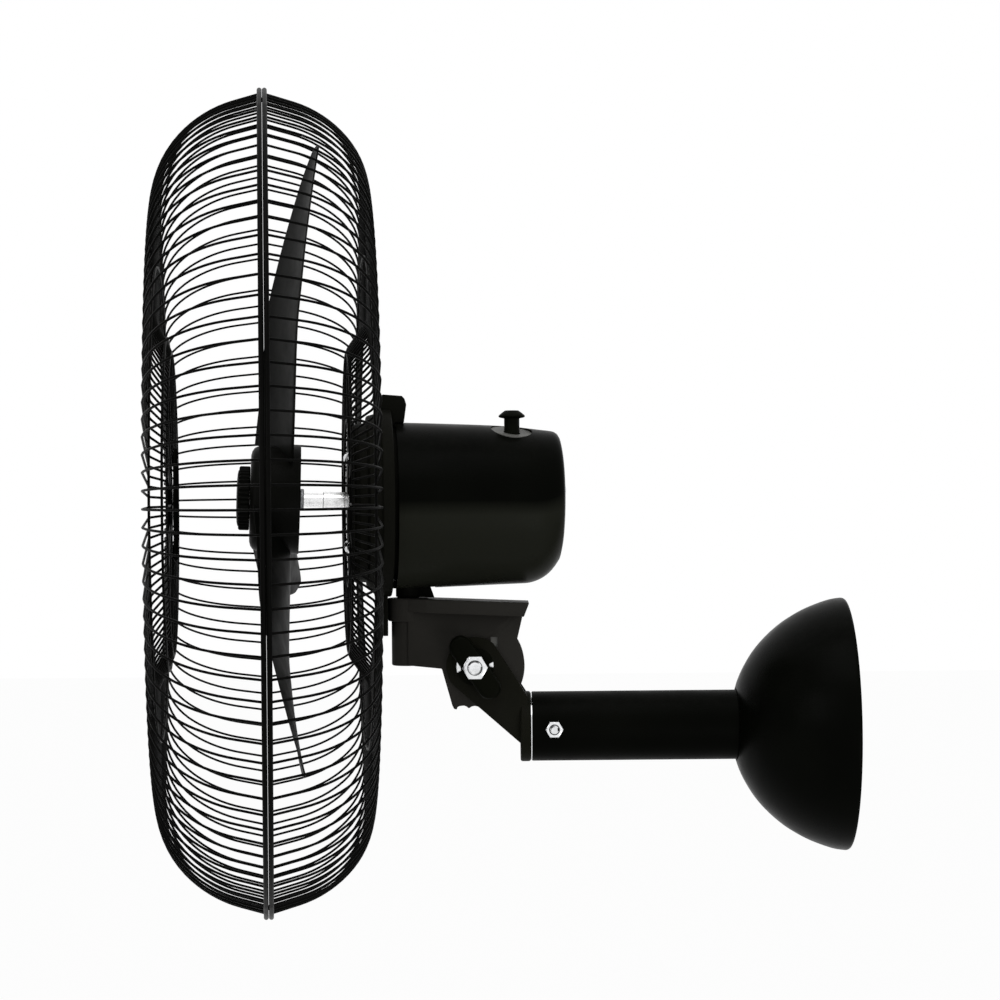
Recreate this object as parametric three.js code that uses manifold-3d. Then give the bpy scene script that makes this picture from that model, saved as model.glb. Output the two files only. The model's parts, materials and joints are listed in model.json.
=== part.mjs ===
// Wall mounted fan, 60 cm class: bell canopy and tube on the wall, clamped tilt joint, oscillating head.
// Millimetres. X = 0 is the wall, -X points into the room, +Z is up. The fan blows towards -X.
import * as THREE from "three";
import { mergeVertices } from "three/addons/utils/BufferGeometryUtils.js";
import Module from "manifold-3d";

const wasm = await Module();
wasm.setup();

// ---- driving dimensions ----
const gap = 0.3; // clearance between pieces that seat on each other
const degree = Math.PI / 180;

// wall end
const plateRadius = 60;
const plateThickness = 4;
const plateHoleRadius = 3.2;
const plateHoleCircle = 46;
const canopyRadius = 92.3;
const canopyDepth = 79.7;
const canopyWall = 2.2;
const canopyRise = 1.217; // powers of the bell curve, 1 and 1 for an ellipse
const canopyFall = 0.96;
const tubeRadius = 25.4;
const tubeWall = 2;
const tubeLength = 226;

// yoke on the end of the tube, and the tilt joint that it carries
const yokeCapThickness = 7.6;
const spigotLength = 45;
const tubeBoltReach = 16.5; // from the end of the tube
const tiltReach = 40.5; // tilt axis ahead of the end of the tube
const tiltHeight = 45.5; // tilt axis above the tube's axis
const cheekRadius = 21;
const cheekThickness = 5.4;
const knuckleWidth = 28.8; // bracket web between the cheeks
const knuckleRadius = 36;
const detentRadius = 31.5;
const detentDepth = 2.2;
const tiltBoltRadius = 5; // M10
const tubeBoltRadius = 4; // M8
const washerRadius = 13.6;
const washerThickness = 2;
const leverLength = 52.5;
const leverWidth = 17.8;
const leverDepth = 15;
const leverLean = 55 * degree; // down towards the wall
const leverHubRadius = 9.6;

// oscillation joint
const swingReach = 48.9; // oscillation axis ahead of the tilt axis
const boltRadius = 5.6;
const bossRadius = 15;
const bossHeight = 17.5;
const sleeveRadius = 12.4;
const flangeTop = 50; // above the tilt axis
const flangeDepth = 13.5;
const flangeWidth = 50;
const flangeTail = 41.7; // behind the tilt axis
const flangeTailDrop = 5.7; // its top slopes down to the tail by this
const neckRadius = 9.1;
const restSwing = 5.43 * degree;

// head, measured from the oscillation axis along the fan's own axis
const axisHeight = 119.5; // fan axis above the tilt axis
const shellRadius = 61.2;
const shellDrop = 2.4; // the shell's middle hangs below the fan axis by this
const shellFront = -9.3;
const shellBack = 113.3;
const shellWall = 2;
const shellTaper = 0.035;
const shellTopCorner = 13;
const shellBottomCorner = 29;
const screwSpread = 20;
const screwHeight = 8;
const coverRadius = 69;
const coverBack = -12.6;
const coverFront = -40.4;
const shaftRadius = 5;
const motorPitch = 2 * degree; // the shaft points a little up, the shell and the guard stay level
const statorRadius = 42;
const statorBore = 26.6;
const statorFront = 12;
const statorLength = 32;
const shieldThickness = 7.4;
const windingReach = 8; // coils beyond each end of the core
const wormOffset = 20; // worm wheel axis beside the shaft
const wormPlace = 75.5;
const wormRadius = 6;
const wheelTeeth = 15;
const pinionTeeth = 6;
const crankTeeth = 20;
const pinionRadius = 4.5;
const crankRadius = 15.2;
const crankThrow = 7.45;
const linkThrow = 10.5;
const knobRadius = 9.7;
const knobStemRadius = 5.6;

// guards, measured from the plane between the two rims
const rimPlace = -104;
const guardRadius = 300;
const wireCount = 72;
const spokeEvery = 6; // one wire in six runs on to the centre
const wireSize = 1.9;
const rimWireSize = 3.3;
const rimWireOffset = 2;
const frontDepth = 78.5;
const rearDepth = 75;
const frontFloor = 67;
const rearFloor = 60;
const bendRadius = 82;
const rimAngle = 16.3 * degree;
const recessRadius = 132;
const floorRadius = 109;
const frontRingRadius = 172;
const rearRingRadius = 180;
const badgeRadius = 42;
const badgeThickness = 3;
const mountRingRadius = 62;
const guardScrewCircle = 46;

// propeller
const bladeCount = 3;
const bladeTip = 258;
const firstBladeAngle = 14.5 * degree; // from straight up towards -Y
const hubRadius = 40;
const hubFront = -115;
const hubBack = -79;
const spinnerRadius = 23.5;
const spinnerThickness = 8;
const spinnerRibs = 14;

// ---- colours ----
const paint = (color, roughness, metalness) => new THREE.MeshStandardMaterial({ color, roughness, metalness });
const blackPaint = paint(0x0b0b0a, 0.28, 0.1);
const blackPlastic = paint(0x0d0d0c, 0.35, 0);
const blackWire = paint(0x111110, 0.32, 0.1);
const zinc = paint(0xc9ccd0, 0.25, 1);
const brightSteel = paint(0xd8dadc, 0.18, 1);
const coreSteel = paint(0x6f7275, 0.5, 1);
const copper = paint(0xa35a2c, 0.4, 0.9);
const nylon = paint(0xe4e0d4, 0.5, 0);
const bronze = paint(0x8c6a3c, 0.45, 0.9);

// ---- solids ----
const clean = (geometry) => {
  const bare = geometry.clone();
  bare.deleteAttribute("normal");
  bare.deleteAttribute("uv");
  const merged = mergeVertices(bare, 1e-4);
  const kept = [];
  const index = merged.index.array;
  for (let i = 0; i < index.length; i += 3) {
    const [a, b, c] = [index[i], index[i + 1], index[i + 2]];
    if (a !== b && b !== c && c !== a) kept.push(a, b, c);
  }
  return { position: merged.attributes.position, triangles: kept };
};

const signedVolume = ({ position, triangles }) => {
  const corner = [new THREE.Vector3(), new THREE.Vector3(), new THREE.Vector3()];
  let sum = 0;
  for (let i = 0; i < triangles.length; i += 3) {
    corner.forEach((v, k) => v.fromBufferAttribute(position, triangles[i + k]));
    sum += corner[0].dot(corner[1].cross(corner[2]));
  }
  return sum;
};

const solid = (geometry) => {
  const body = clean(geometry);
  const outward = signedVolume(body) > 0;
  const triVerts = new Uint32Array(body.triangles);
  if (!outward) {
    for (let i = 0; i < triVerts.length; i += 3) {
      [triVerts[i + 1], triVerts[i + 2]] = [triVerts[i + 2], triVerts[i + 1]];
    }
  }
  const vertProperties = new Float32Array(body.position.array);
  return new wasm.Manifold(new wasm.Mesh({ numProp: 3, vertProperties, triVerts }));
};

const fuse = (...solids) => solids.reduce((all, one) => all.add(one));
const cut = (body, ...tools) => tools.reduce((left, tool) => left.subtract(tool), body);

const surface = (body) => {
  const { vertProperties, triVerts } = body.getMesh();
  const geometry = new THREE.BufferGeometry();
  geometry.setAttribute("position", new THREE.BufferAttribute(new Float32Array(vertProperties), 3));
  geometry.setIndex(new THREE.BufferAttribute(new Uint32Array(triVerts), 1));
  geometry.computeVertexNormals();
  return geometry;
};

// ---- plain forms, each along a named axis ----
const turnTo = { x: [0, 0, -Math.PI / 2], y: [0, 0, 0], z: [Math.PI / 2, 0, 0] };
const aim = (geometry, axis) => {
  const [rx, ry, rz] = turnTo[axis];
  return geometry.rotateX(rx).rotateY(ry).rotateZ(rz);
};

// a round bar from one place to another along an axis, through a point given by its other two coordinates
const bar = (axis, radius, from, to, [u, v] = [0, 0], sides = 16, endRadius = radius) => {
  const geometry = aim(new THREE.CylinderGeometry(endRadius, radius, to - from, sides), axis);
  const middle = (from + to) / 2;
  const at = { x: [middle, u, v], y: [u, middle, v], z: [u, v, middle] }[axis];
  return solid(geometry.translate(...at));
};

const washer = (axis, radius, bore, from, to, at = [0, 0], sides = 20) =>
  cut(bar(axis, radius, from, to, at, sides), bar(axis, bore, from - 1, to + 1, at, sides));

const block = (x0, x1, y0, y1, z0, z1) => {
  const geometry = new THREE.BoxGeometry(x1 - x0, y1 - y0, z1 - z0);
  return solid(geometry.translate((x0 + x1) / 2, (y0 + y1) / 2, (z0 + z1) / 2));
};

// a profile of [place, radius] points turned about an axis
const turned = (axis, profile, sides = 32) => {
  const points = profile.map(([place, radius]) => new THREE.Vector2(radius, place));
  return solid(aim(new THREE.LatheGeometry(points, sides), axis));
};

// an outline of [x, z] points or a Shape, given a thickness along Y
const plate = (outline, y0, y1, curveSegments = 12) => {
  const drawn = outline instanceof THREE.Shape;
  const shape = drawn ? outline : new THREE.Shape(outline.map(([x, z]) => new THREE.Vector2(x, z)));
  const geometry = new THREE.ExtrudeGeometry(shape, { depth: y1 - y0, bevelEnabled: false, curveSegments });
  return solid(geometry.rotateX(Math.PI / 2).translate(0, y1, 0));
};

// closed skin through rings that all hold the same number of points
const skin = (rings) => {
  const count = rings[0].length;
  const flat = rings.flat(2);
  const index = [];
  for (let i = 0; i + 1 < rings.length; i++) {
    for (let k = 0; k < count; k++) {
      const [a, b] = [i * count + k, i * count + ((k + 1) % count)];
      index.push(a, b, a + count, b, b + count, a + count);
    }
  }
  const last = (rings.length - 1) * count;
  for (let k = 1; k + 1 < count; k++) {
    index.push(0, k + 1, k, last, last + k, last + k + 1);
  }
  const geometry = new THREE.BufferGeometry();
  geometry.setAttribute("position", new THREE.Float32BufferAttribute(flat, 3));
  geometry.setIndex(index);
  return solid(geometry);
};

const hexNut = (axis, flats, from, to, at, turn = 0) => {
  const corner = flats / Math.sqrt(3);
  const geometry = new THREE.CylinderGeometry(corner, corner, to - from, 6).rotateY(turn);
  const middle = (from + to) / 2;
  const place = { x: [middle, ...at], y: [at[0], middle, at[1]], z: [...at, middle] }[axis];
  return solid(aim(geometry, axis).translate(...place));
};

const part = new THREE.Group();
const fixedEnd = new THREE.Group();
const bracketEnd = new THREE.Group();
const head = new THREE.Group();
const motorAxis = new THREE.Group();
part.add(fixedEnd, bracketEnd, head);
head.add(motorAxis);

const put = (group, name, body, material) => {
  const mesh = new THREE.Mesh(surface(body), material);
  mesh.name = name;
  group.add(mesh);
  return mesh;
};

// ---- places that several pieces share ----
const tubeEnd = -(plateThickness + gap + tubeLength);
const tiltX = tubeEnd - tiltReach;
const swingX = tiltX - swingReach;
const headZ = tiltHeight + axisHeight;
const tubeBoltX = tubeEnd + tubeBoltReach;
const bracketTop = flangeTop - axisHeight; // seen from the fan axis
const thrustThickness = 1.2;
const neckBottom = bracketTop + gap + thrustThickness + gap;
const screwSides = [1, -1];
const postEnd = shellBack - shellWall - gap;
const statorBack = statorFront + statorLength;
const rearShieldAt = statorBack + windingReach + 0.6;
const gearFront = rearShieldAt + shieldThickness + gap + 0.5;
const wheelLevel = -wormPlace * Math.sin(motorPitch); // height of the shaft where the worm is
const fourAround = (circle) => [0, 1, 2, 3].map((i) => {
  const angle = (45 + 90 * i) * degree;
  return [circle * Math.cos(angle), circle * Math.sin(angle)];
});
const guardScrewPlaces = fourAround(guardScrewCircle);

// ---- wall end ----
const wallEnd = () => {
  const disc = bar("x", plateRadius, -plateThickness, 0, [0, 0], 24);
  const through = [-plateThickness - 1, 1];
  const fixings = fourAround(plateHoleCircle).map((at) => bar("x", plateHoleRadius, ...through, at, 8));
  put(fixedEnd, "wall_plate", cut(disc, ...fixings), zinc);

  // bell curve from the wall to the collar round the tube
  const bell = (radius, depth, collar, rowCount) => {
    const endTurn = Math.acos((collar / radius) ** (1 / canopyFall));
    const points = [];
    for (let i = 0; i <= rowCount; i++) {
      const t = (i / rowCount) * endTurn;
      const along = (Math.sin(t) / Math.sin(endTurn)) ** canopyRise;
      points.push([-depth * along, radius * Math.cos(t) ** canopyFall]);
    }
    return points;
  };
  const collarBore = tubeRadius + gap;
  const outer = bell(canopyRadius, canopyDepth, tubeRadius + canopyWall, 7);
  const inner = bell(canopyRadius - canopyWall, canopyDepth - canopyWall - 2, collarBore, 5).reverse();
  const profile = [...outer, [-canopyDepth, collarBore], ...inner, outer[0]];
  put(fixedEnd, "canopy_bell", turned("x", profile, 24), blackPlastic);

  const tubeBore = tubeRadius - tubeWall;
  const boltHole = bar("y", tubeBoltRadius + gap, -tubeRadius - 1, tubeRadius + 1, [tubeBoltX, 0], 12);
  const tube = washer("x", tubeRadius, tubeBore, tubeEnd, tubeEnd + tubeLength, [0, 0], 18);
  put(fixedEnd, "support_tube", cut(tube, boltHole), blackPaint);

  // hexagon bolt across the tube, nut on the -Y side
  const bolt = fuse(
    bar("y", tubeBoltRadius, -tubeRadius - 9, tubeRadius + gap + 1, [tubeBoltX, 0], 12),
    hexNut("y", 13, tubeRadius + gap, tubeRadius + gap + 5.3, [tubeBoltX, 0]),
  );
  put(fixedEnd, "tube_bolt", bolt, zinc);
  const nut = cut(
    hexNut("y", 13, -tubeRadius - gap - 6.5, -tubeRadius - gap, [tubeBoltX, 0]),
    bar("y", tubeBoltRadius + gap, -tubeRadius - 9, -tubeRadius + 1, [tubeBoltX, 0], 12),
  );
  put(fixedEnd, "tube_nut", nut, zinc);
};

// ---- yoke: cap, spigot in the tube and two teardrop cheeks ----
const cheekOutside = knuckleWidth / 2 + gap + cheekThickness;
const yoke = () => {
  const capFront = tubeEnd - gap - yokeCapThickness;
  const cap = bar("x", tubeRadius + 0.3, capFront, tubeEnd - gap, [0, 0], 18);
  const spigotRadius = tubeRadius - tubeWall - gap;
  const spigot = washer("x", spigotRadius, 15, tubeEnd - gap - 1, tubeEnd + spigotLength, [0, 0], 18);
  const lowAngle = -140 * degree;
  const highAngle = 50 * degree;
  const cheek = new THREE.Shape();
  cheek.moveTo(capFront + 2, -12.5);
  cheek.lineTo(tiltX + cheekRadius * Math.cos(lowAngle), tiltHeight + cheekRadius * Math.sin(lowAngle));
  cheek.absarc(tiltX, tiltHeight, cheekRadius, lowAngle, highAngle, true);
  cheek.lineTo(capFront + 4, 22);
  cheek.lineTo(capFront + 4, -12.5);
  cheek.closePath();
  const near = plate(cheek, -cheekOutside, -cheekOutside + cheekThickness, 8);
  const far = plate(cheek, cheekOutside - cheekThickness, cheekOutside, 8);
  const bore = bar("y", tiltBoltRadius + gap, -40, 40, [tiltX, tiltHeight], 12);
  const cross = bar("y", tubeBoltRadius + gap, -30, 30, [tubeBoltX, 0], 12);
  put(fixedEnd, "tilt_yoke", cut(fuse(cap, spigot, near, far), bore, cross), blackPaint);
};

// ---- tilt clamp: bolt, washer, lever knob and its hexagon nut ----
const leverInside = -cheekOutside - gap - washerThickness - gap;
const tiltClamp = () => {
  const at = [tiltX, tiltHeight];
  const headFace = cheekOutside + gap;
  const nutTop = leverInside - leverDepth - 1.5;
  const bolt = fuse(
    bar("y", tiltBoltRadius, nutTop - 1, headFace + 1, at, 12),
    hexNut("y", 17, headFace, headFace + 6.4, at),
  );
  put(fixedEnd, "tilt_bolt", bolt, zinc);
  const washerFrom = leverInside + gap;
  const washerTo = washerFrom + washerThickness;
  const ring = washer("y", washerRadius, tiltBoltRadius + gap, washerFrom, washerTo, at, 16);
  put(fixedEnd, "tilt_washer", ring, zinc);

  // two-ended grip with round ends, a round hub and a hexagon pocket for the nut
  const half = (leverLength - leverWidth) / 2;
  const grip = new THREE.Shape();
  grip.absarc(half, 0, leverWidth / 2, -Math.PI / 2, Math.PI / 2, false);
  grip.absarc(-half, 0, leverWidth / 2, Math.PI / 2, (3 * Math.PI) / 2, false);
  const wings = new THREE.ExtrudeGeometry(grip, {
    depth: leverDepth - 5,
    bevelEnabled: true,
    bevelSize: 1.6,
    bevelOffset: -1.6,
    bevelThickness: 1.6,
    bevelSegments: 1,
    curveSegments: 5,
  });
  wings.rotateX(Math.PI / 2).rotateY(leverLean).translate(tiltX, leverInside - 3.2, tiltHeight);
  const hub = bar("y", leverHubRadius, leverInside - 4, leverInside, at, 12);
  const nutFrom = leverInside - leverDepth;
  const pocket = hexNut("y", 17 + 2 * gap, nutFrom - 4, nutFrom + 8, at);
  const lever = cut(
    fuse(solid(wings), hub),
    pocket,
    bar("y", tiltBoltRadius + gap, leverInside - 30, leverInside + 1, at, 12),
  );
  put(fixedEnd, "tilt_lever", lever, blackPlastic);
  const nut = cut(
    hexNut("y", 17, nutFrom - 0.4, nutFrom + 8 - gap, at),
    bar("y", tiltBoltRadius + gap, nutFrom - 2, nutFrom + 10, at, 12),
  );
  put(fixedEnd, "tilt_nut", nut, zinc);
};

// ---- pivot bracket, in world directions, from the tilt axis ----
const bracket = () => {
  bracketEnd.position.set(tiltX, 0, tiltHeight);
  const axisX = -swingReach;
  // knuckle: a round lobe at the back, a toothed arc below it
  const teeth = [];
  const firstTooth = 238;
  const lastTooth = 306;
  const toothStep = 8.5;
  for (let a = firstTooth; a <= lastTooth; a += toothStep) {
    const [tip, root] = [a * degree, (a + toothStep / 2) * degree];
    teeth.push([detentRadius * Math.cos(tip), detentRadius * Math.sin(tip)]);
    teeth.push([(detentRadius - detentDepth) * Math.cos(root), (detentRadius - detentDepth) * Math.sin(root)]);
  }
  const lobe = [];
  for (let a = -48; a <= 36; a += 14) {
    lobe.push([knuckleRadius * Math.cos(a * degree), knuckleRadius * Math.sin(a * degree)]);
  }
  const top = flangeTop - 1.5;
  const tail = flangeTop - flangeTailDrop;
  const web = [
    [axisX, 0], [-19.5, 0], ...teeth, ...lobe,
    [flangeTail - 5, tail - 8], [flangeTail - 3, tail - 1.5], [axisX, top],
  ];
  const half = knuckleWidth / 2;
  const flange = new THREE.Shape();
  flange.moveTo(axisX, flangeTop);
  flange.lineTo(flangeTail, tail);
  flange.lineTo(flangeTail - 3.7, tail - flangeDepth + 2.6);
  flange.lineTo(axisX + 21, flangeTop - flangeDepth);
  flange.lineTo(axisX, flangeTop - flangeDepth);
  flange.closePath();
  const plan = new THREE.Shape();
  plan.absarc(axisX, 0, bossRadius - 0.05, Math.PI / 2, (3 * Math.PI) / 2, false);
  plan.lineTo(axisX + 14, -flangeWidth / 2);
  plan.lineTo(flangeTail + 1, -flangeWidth / 2);
  plan.lineTo(flangeTail + 1, flangeWidth / 2);
  plan.lineTo(axisX + 14, flangeWidth / 2);
  plan.closePath();
  const planCut = solid(new THREE.ExtrudeGeometry(plan, { depth: 80, bevelEnabled: false, curveSegments: 7 }));
  const body = fuse(
    plate(web, -half, half),
    plate(flange, -flangeWidth / 2, flangeWidth / 2).intersect(planCut),
    bar("z", bossRadius, flangeTop - bossHeight, flangeTop, [axisX, 0], 20),
    bar("z", sleeveRadius, 0, flangeTop - bossHeight + 1, [axisX, 0], 20),
  );
  const whole = cut(
    body,
    bar("z", boltRadius + gap, -1, flangeTop + 1, [axisX, 0], 12),
    bar("z", 9.4, -1, 6.6, [axisX, 0], 12),
    bar("y", tiltBoltRadius + gap, -half - 1, half + 1, [0, 0], 12),
    block(11.4, 16.4, -half - 1, half + 1, 13.8, 21),
    block(axisX + 18, -24, -half + 3, half - 3, -1, flangeTop - flangeDepth - 3),
  );
  put(bracketEnd, "pivot_bracket", whole, blackPaint);
  const thrustFrom = flangeTop + gap;
  const thrustTo = thrustFrom + thrustThickness;
  const thrust = washer("z", neckRadius, boltRadius + gap, thrustFrom, thrustTo, [axisX, 0], 12);
  put(bracketEnd, "thrust_washer", thrust, nylon);

  // shouldered bolt up the middle, the fixed link arm and the locknut on its top
  const armLow = axisHeight - 55.9;
  const nutTop = armLow + 4.1;
  const post = fuse(
    bar("z", 9, 0.6, 6.3, [axisX, 0], 6),
    bar("z", boltRadius, 6, nutTop, [axisX, 0], 12),
  );
  put(bracketEnd, "pivot_bolt", post, zinc);
  const armOutline = new THREE.Shape();
  armOutline.absarc(0, -linkThrow, 3.6, Math.PI, 2 * Math.PI, false);
  armOutline.absarc(0, 0, 8.6, 0, Math.PI, false);
  armOutline.closePath();
  const strip = new THREE.ExtrudeGeometry(armOutline, { depth: 1.5, bevelEnabled: false, curveSegments: 5 });
  const seated = solid(strip.translate(axisX, 0, armLow));
  const linkPin = bar("z", 2, armLow + 0.2, nutTop, [axisX, -linkThrow], 8);
  const bore = bar("z", boltRadius + gap, armLow - 1, armLow + 3, [axisX, 0], 12);
  put(bracketEnd, "link_arm", cut(fuse(seated, linkPin), bore), zinc);
  const locknut = cut(
    hexNut("z", 15, armLow + 1.5 + gap, nutTop, [axisX, 0], Math.PI / 6),
    bar("z", boltRadius + gap, armLow, nutTop + 1, [axisX, 0], 12),
  );
  put(bracketEnd, "pivot_locknut", locknut, zinc);
};

// ---- head: everything that swings ----
const shellTop = (x) => shellRadius - shellTaper * (x - shellFront);
const cornerDrop = (x, corner) => {
  const into = Math.max(0, x - (shellBack - corner));
  return corner - Math.sqrt(Math.max(0, corner * corner - into * into));
};

// round sections whose top and bottom edges bend in at corners of different radius
const shellRings = (inset, stations, sides) =>
  stations.map((x) => {
    const reach = Math.min(shellBack, x + inset);
    const top = shellTop(reach) - cornerDrop(reach, shellTopCorner) - inset;
    const bottom = -shellTop(reach) + cornerDrop(reach, shellBottomCorner) + inset;
    const [middle, radius] = [(top + bottom) / 2 - shellDrop, (top - bottom) / 2];
    const ring = [];
    for (let k = 0; k < sides; k++) {
      const a = (k / sides) * 2 * Math.PI;
      ring.push([x, radius * Math.cos(a), middle + radius * Math.sin(a)]);
    }
    return ring;
  });

const shellPieces = () => {
  const bend = shellBack - shellBottomCorner;
  const outside = skin(shellRings(0, [shellFront, bend, bend + 11, bend + 20, bend + 26, shellBack], 26));
  const inside = skin(shellRings(shellWall, [shellFront - 1, bend, bend + 15, shellBack - shellWall], 24));
  // dished seat round the oscillation knob, leaning a little towards -Y
  const seat = [wormPlace, -16, 50.2];
  const lean = 12 * degree;
  const leaned = (radius, from, to, sides) => {
    const geometry = aim(new THREE.CylinderGeometry(radius, radius, to - from, sides), "z");
    return solid(geometry.translate(0, 0, (from + to) / 2).rotateX(lean).translate(...seat));
  };
  const pad = leaned(17.9, -shellWall, 20, 16).intersect(outside);
  const neckSlot = block(shellFront - 1, neckRadius + 11, -neckRadius - 1, neckRadius + 1, -70, -50);
  const shell = cut(
    fuse(outside.subtract(inside), pad),
    leaned(15.8, 0, 20, 16),
    bar("z", knobStemRadius + 0.6, 30, 70, [wormPlace, -wormOffset], 10),
    neckSlot,
    ...screwSides.map((side) => bar("x", 2.4, 100, 120, [side * screwSpread, screwHeight], 8)),
  );
  put(head, "motor_shell", shell, blackPlastic);
  screwSides.forEach((side, i) => {
    const at = [side * screwSpread, screwHeight];
    const screw = fuse(
      bar("x", 2, postEnd - 7, shellBack + gap + 1, at, 6),
      bar("x", 4.2, shellBack + gap, shellBack + gap + 1.3, at, 10, 3.4),
    );
    put(head, ["shell_screw_far", "shell_screw_near"][i], screw, zinc);
  });
};

// ---- front casting: stepped cover, ear on top, tongue and pivot sleeve below ----
const frontCasting = () => {
  const profile = [
    [coverFront, 12.4], [coverFront, 57], [-31, 58.5], [-30, 63.5], [-21.5, 66], [-20.6, coverRadius],
    [coverBack, coverRadius], [coverBack, 55.4], [-6, 55.2], [-6, 53.2], [-34, 50], [-34, 20],
    [-9.6, 16], [-9.6, 12.4],
    [coverFront, 12.4],
  ];
  const armRoom = bar("z", 17, -56.2, -48, [0, 0], 12);
  const cover = turned("x", profile, 22).subtract(armRoom);
  const earOutline = [
    [-19.5, 55], [-19.5, 76.6], [-17.8, 78.2], [-4.5, 77.6], [-2, 75],
    [-2.4, 64], [-5, 61.4], [-14, 61.4], [-14, 55],
  ];
  const ear = plate(earOutline, -13, 13);
  const tongueFace = -bossRadius - gap - 0.4;
  const tongue = block(-19, tongueFace, -11, 11, -97.5, -60);
  const bridge = block(coverBack - 2, -2, -neckRadius + 0.4, neckRadius - 0.4, neckBottom, -57.4);
  const sleeve = bar("z", neckRadius, neckBottom, -56.2, [0, 0], 16);
  const gusset = plate([[3, neckBottom], [18.4, neckBottom], [15.4, -62.6], [3, -62.6]], -4, 4);
  const bore = bar("z", boltRadius + gap, neckBottom - 1, -50, [0, 0], 12);
  const screwHoles = guardScrewPlaces.map((at) => bar("x", 2.4, -45, -30, at, 6));
  const body = cut(fuse(cover, ear, tongue, bridge, sleeve, gusset), bore, ...screwHoles);
  put(head, "motor_front_casting", body, blackPaint);
};

// ---- motor inside the shell ----
const motor = () => {
  const core = washer("x", statorRadius, statorBore, statorFront, statorBack, [0, 0], 12);
  put(motorAxis, "stator_core", core, coreSteel);
  const coil = (from, to) => washer("x", 35.6, 28.4, from, to, [0, 0], 12);
  put(motorAxis, "front_winding", coil(statorFront - windingReach, statorFront - gap), copper);
  put(motorAxis, "rear_winding", coil(statorBack + gap, statorBack + windingReach), copper);
  const frontShieldAt = -8.6;
  const shields = [
    ["front_end_shield", frontShieldAt, statorFront - windingReach - 0.6],
    ["rear_end_shield", rearShieldAt, rearShieldAt + shieldThickness],
  ];
  shields.forEach(([name, from, to], i) => {
    const disc = washer("x", statorRadius, 12, from, to, [0, 0], 12);
    // a rim reaches over the winding to the core
    const [rimFrom, rimTo] = i === 0 ? [to - 1, statorFront - gap] : [statorBack + gap, from + 1];
    const rim = washer("x", statorRadius, 37, rimFrom, rimTo, [0, 0], 12);
    put(motorAxis, name, fuse(disc, rim), blackPaint);
  });
  const bush = (from, to) => washer("x", 11, shaftRadius + gap, from, to, [0, 0], 12);
  put(motorAxis, "front_bearing", bush(frontShieldAt + 0.6, frontShieldAt + 8.6), bronze);
  put(motorAxis, "rear_bearing", bush(rearShieldAt + 0.2, rearShieldAt + 7.2), bronze);
  const can = block(gearBack + gap, postEnd - 1, -14, 14, -6, 18);
  put(head, "run_capacitor", can, blackPlastic);
};

// ---- rotor, shaft and worm ----
const spin = () => {
  const shaft = bar("x", shaftRadius, hubFront - spinnerThickness + 3, 84, [0, 0], 12);
  put(motorAxis, "motor_shaft", shaft, brightSteel);
  const rotorRadius = statorBore * Math.cos(Math.PI / 12) - gap;
  const rotor = washer("x", rotorRadius, shaftRadius + gap, statorFront, statorBack, [0, 0], 12);
  put(motorAxis, "rotor_core", rotor, coreSteel);
  // worm: a ribbed sleeve, its thread drawn as rings
  const ribs = [[71.4, shaftRadius + gap]];
  const pitch = 5.8;
  for (let x = 71.4; x < 82; x += pitch) {
    ribs.push([x, wormRadius - 0.5], [x + pitch * 0.35, wormRadius + 0.2], [x + pitch * 0.65, wormRadius + 0.2]);
  }
  ribs.push([83, wormRadius - 0.5], [83, shaftRadius + gap], [71.4, shaftRadius + gap]);
  put(motorAxis, "drive_worm", turned("x", ribs, 12), brightSteel);
  const collar = washer("x", 8, shaftRadius + gap, hubBack + gap, hubBack + 3, [0, 0], 12);
  put(motorAxis, "shaft_collar", collar, brightSteel);
};

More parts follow.
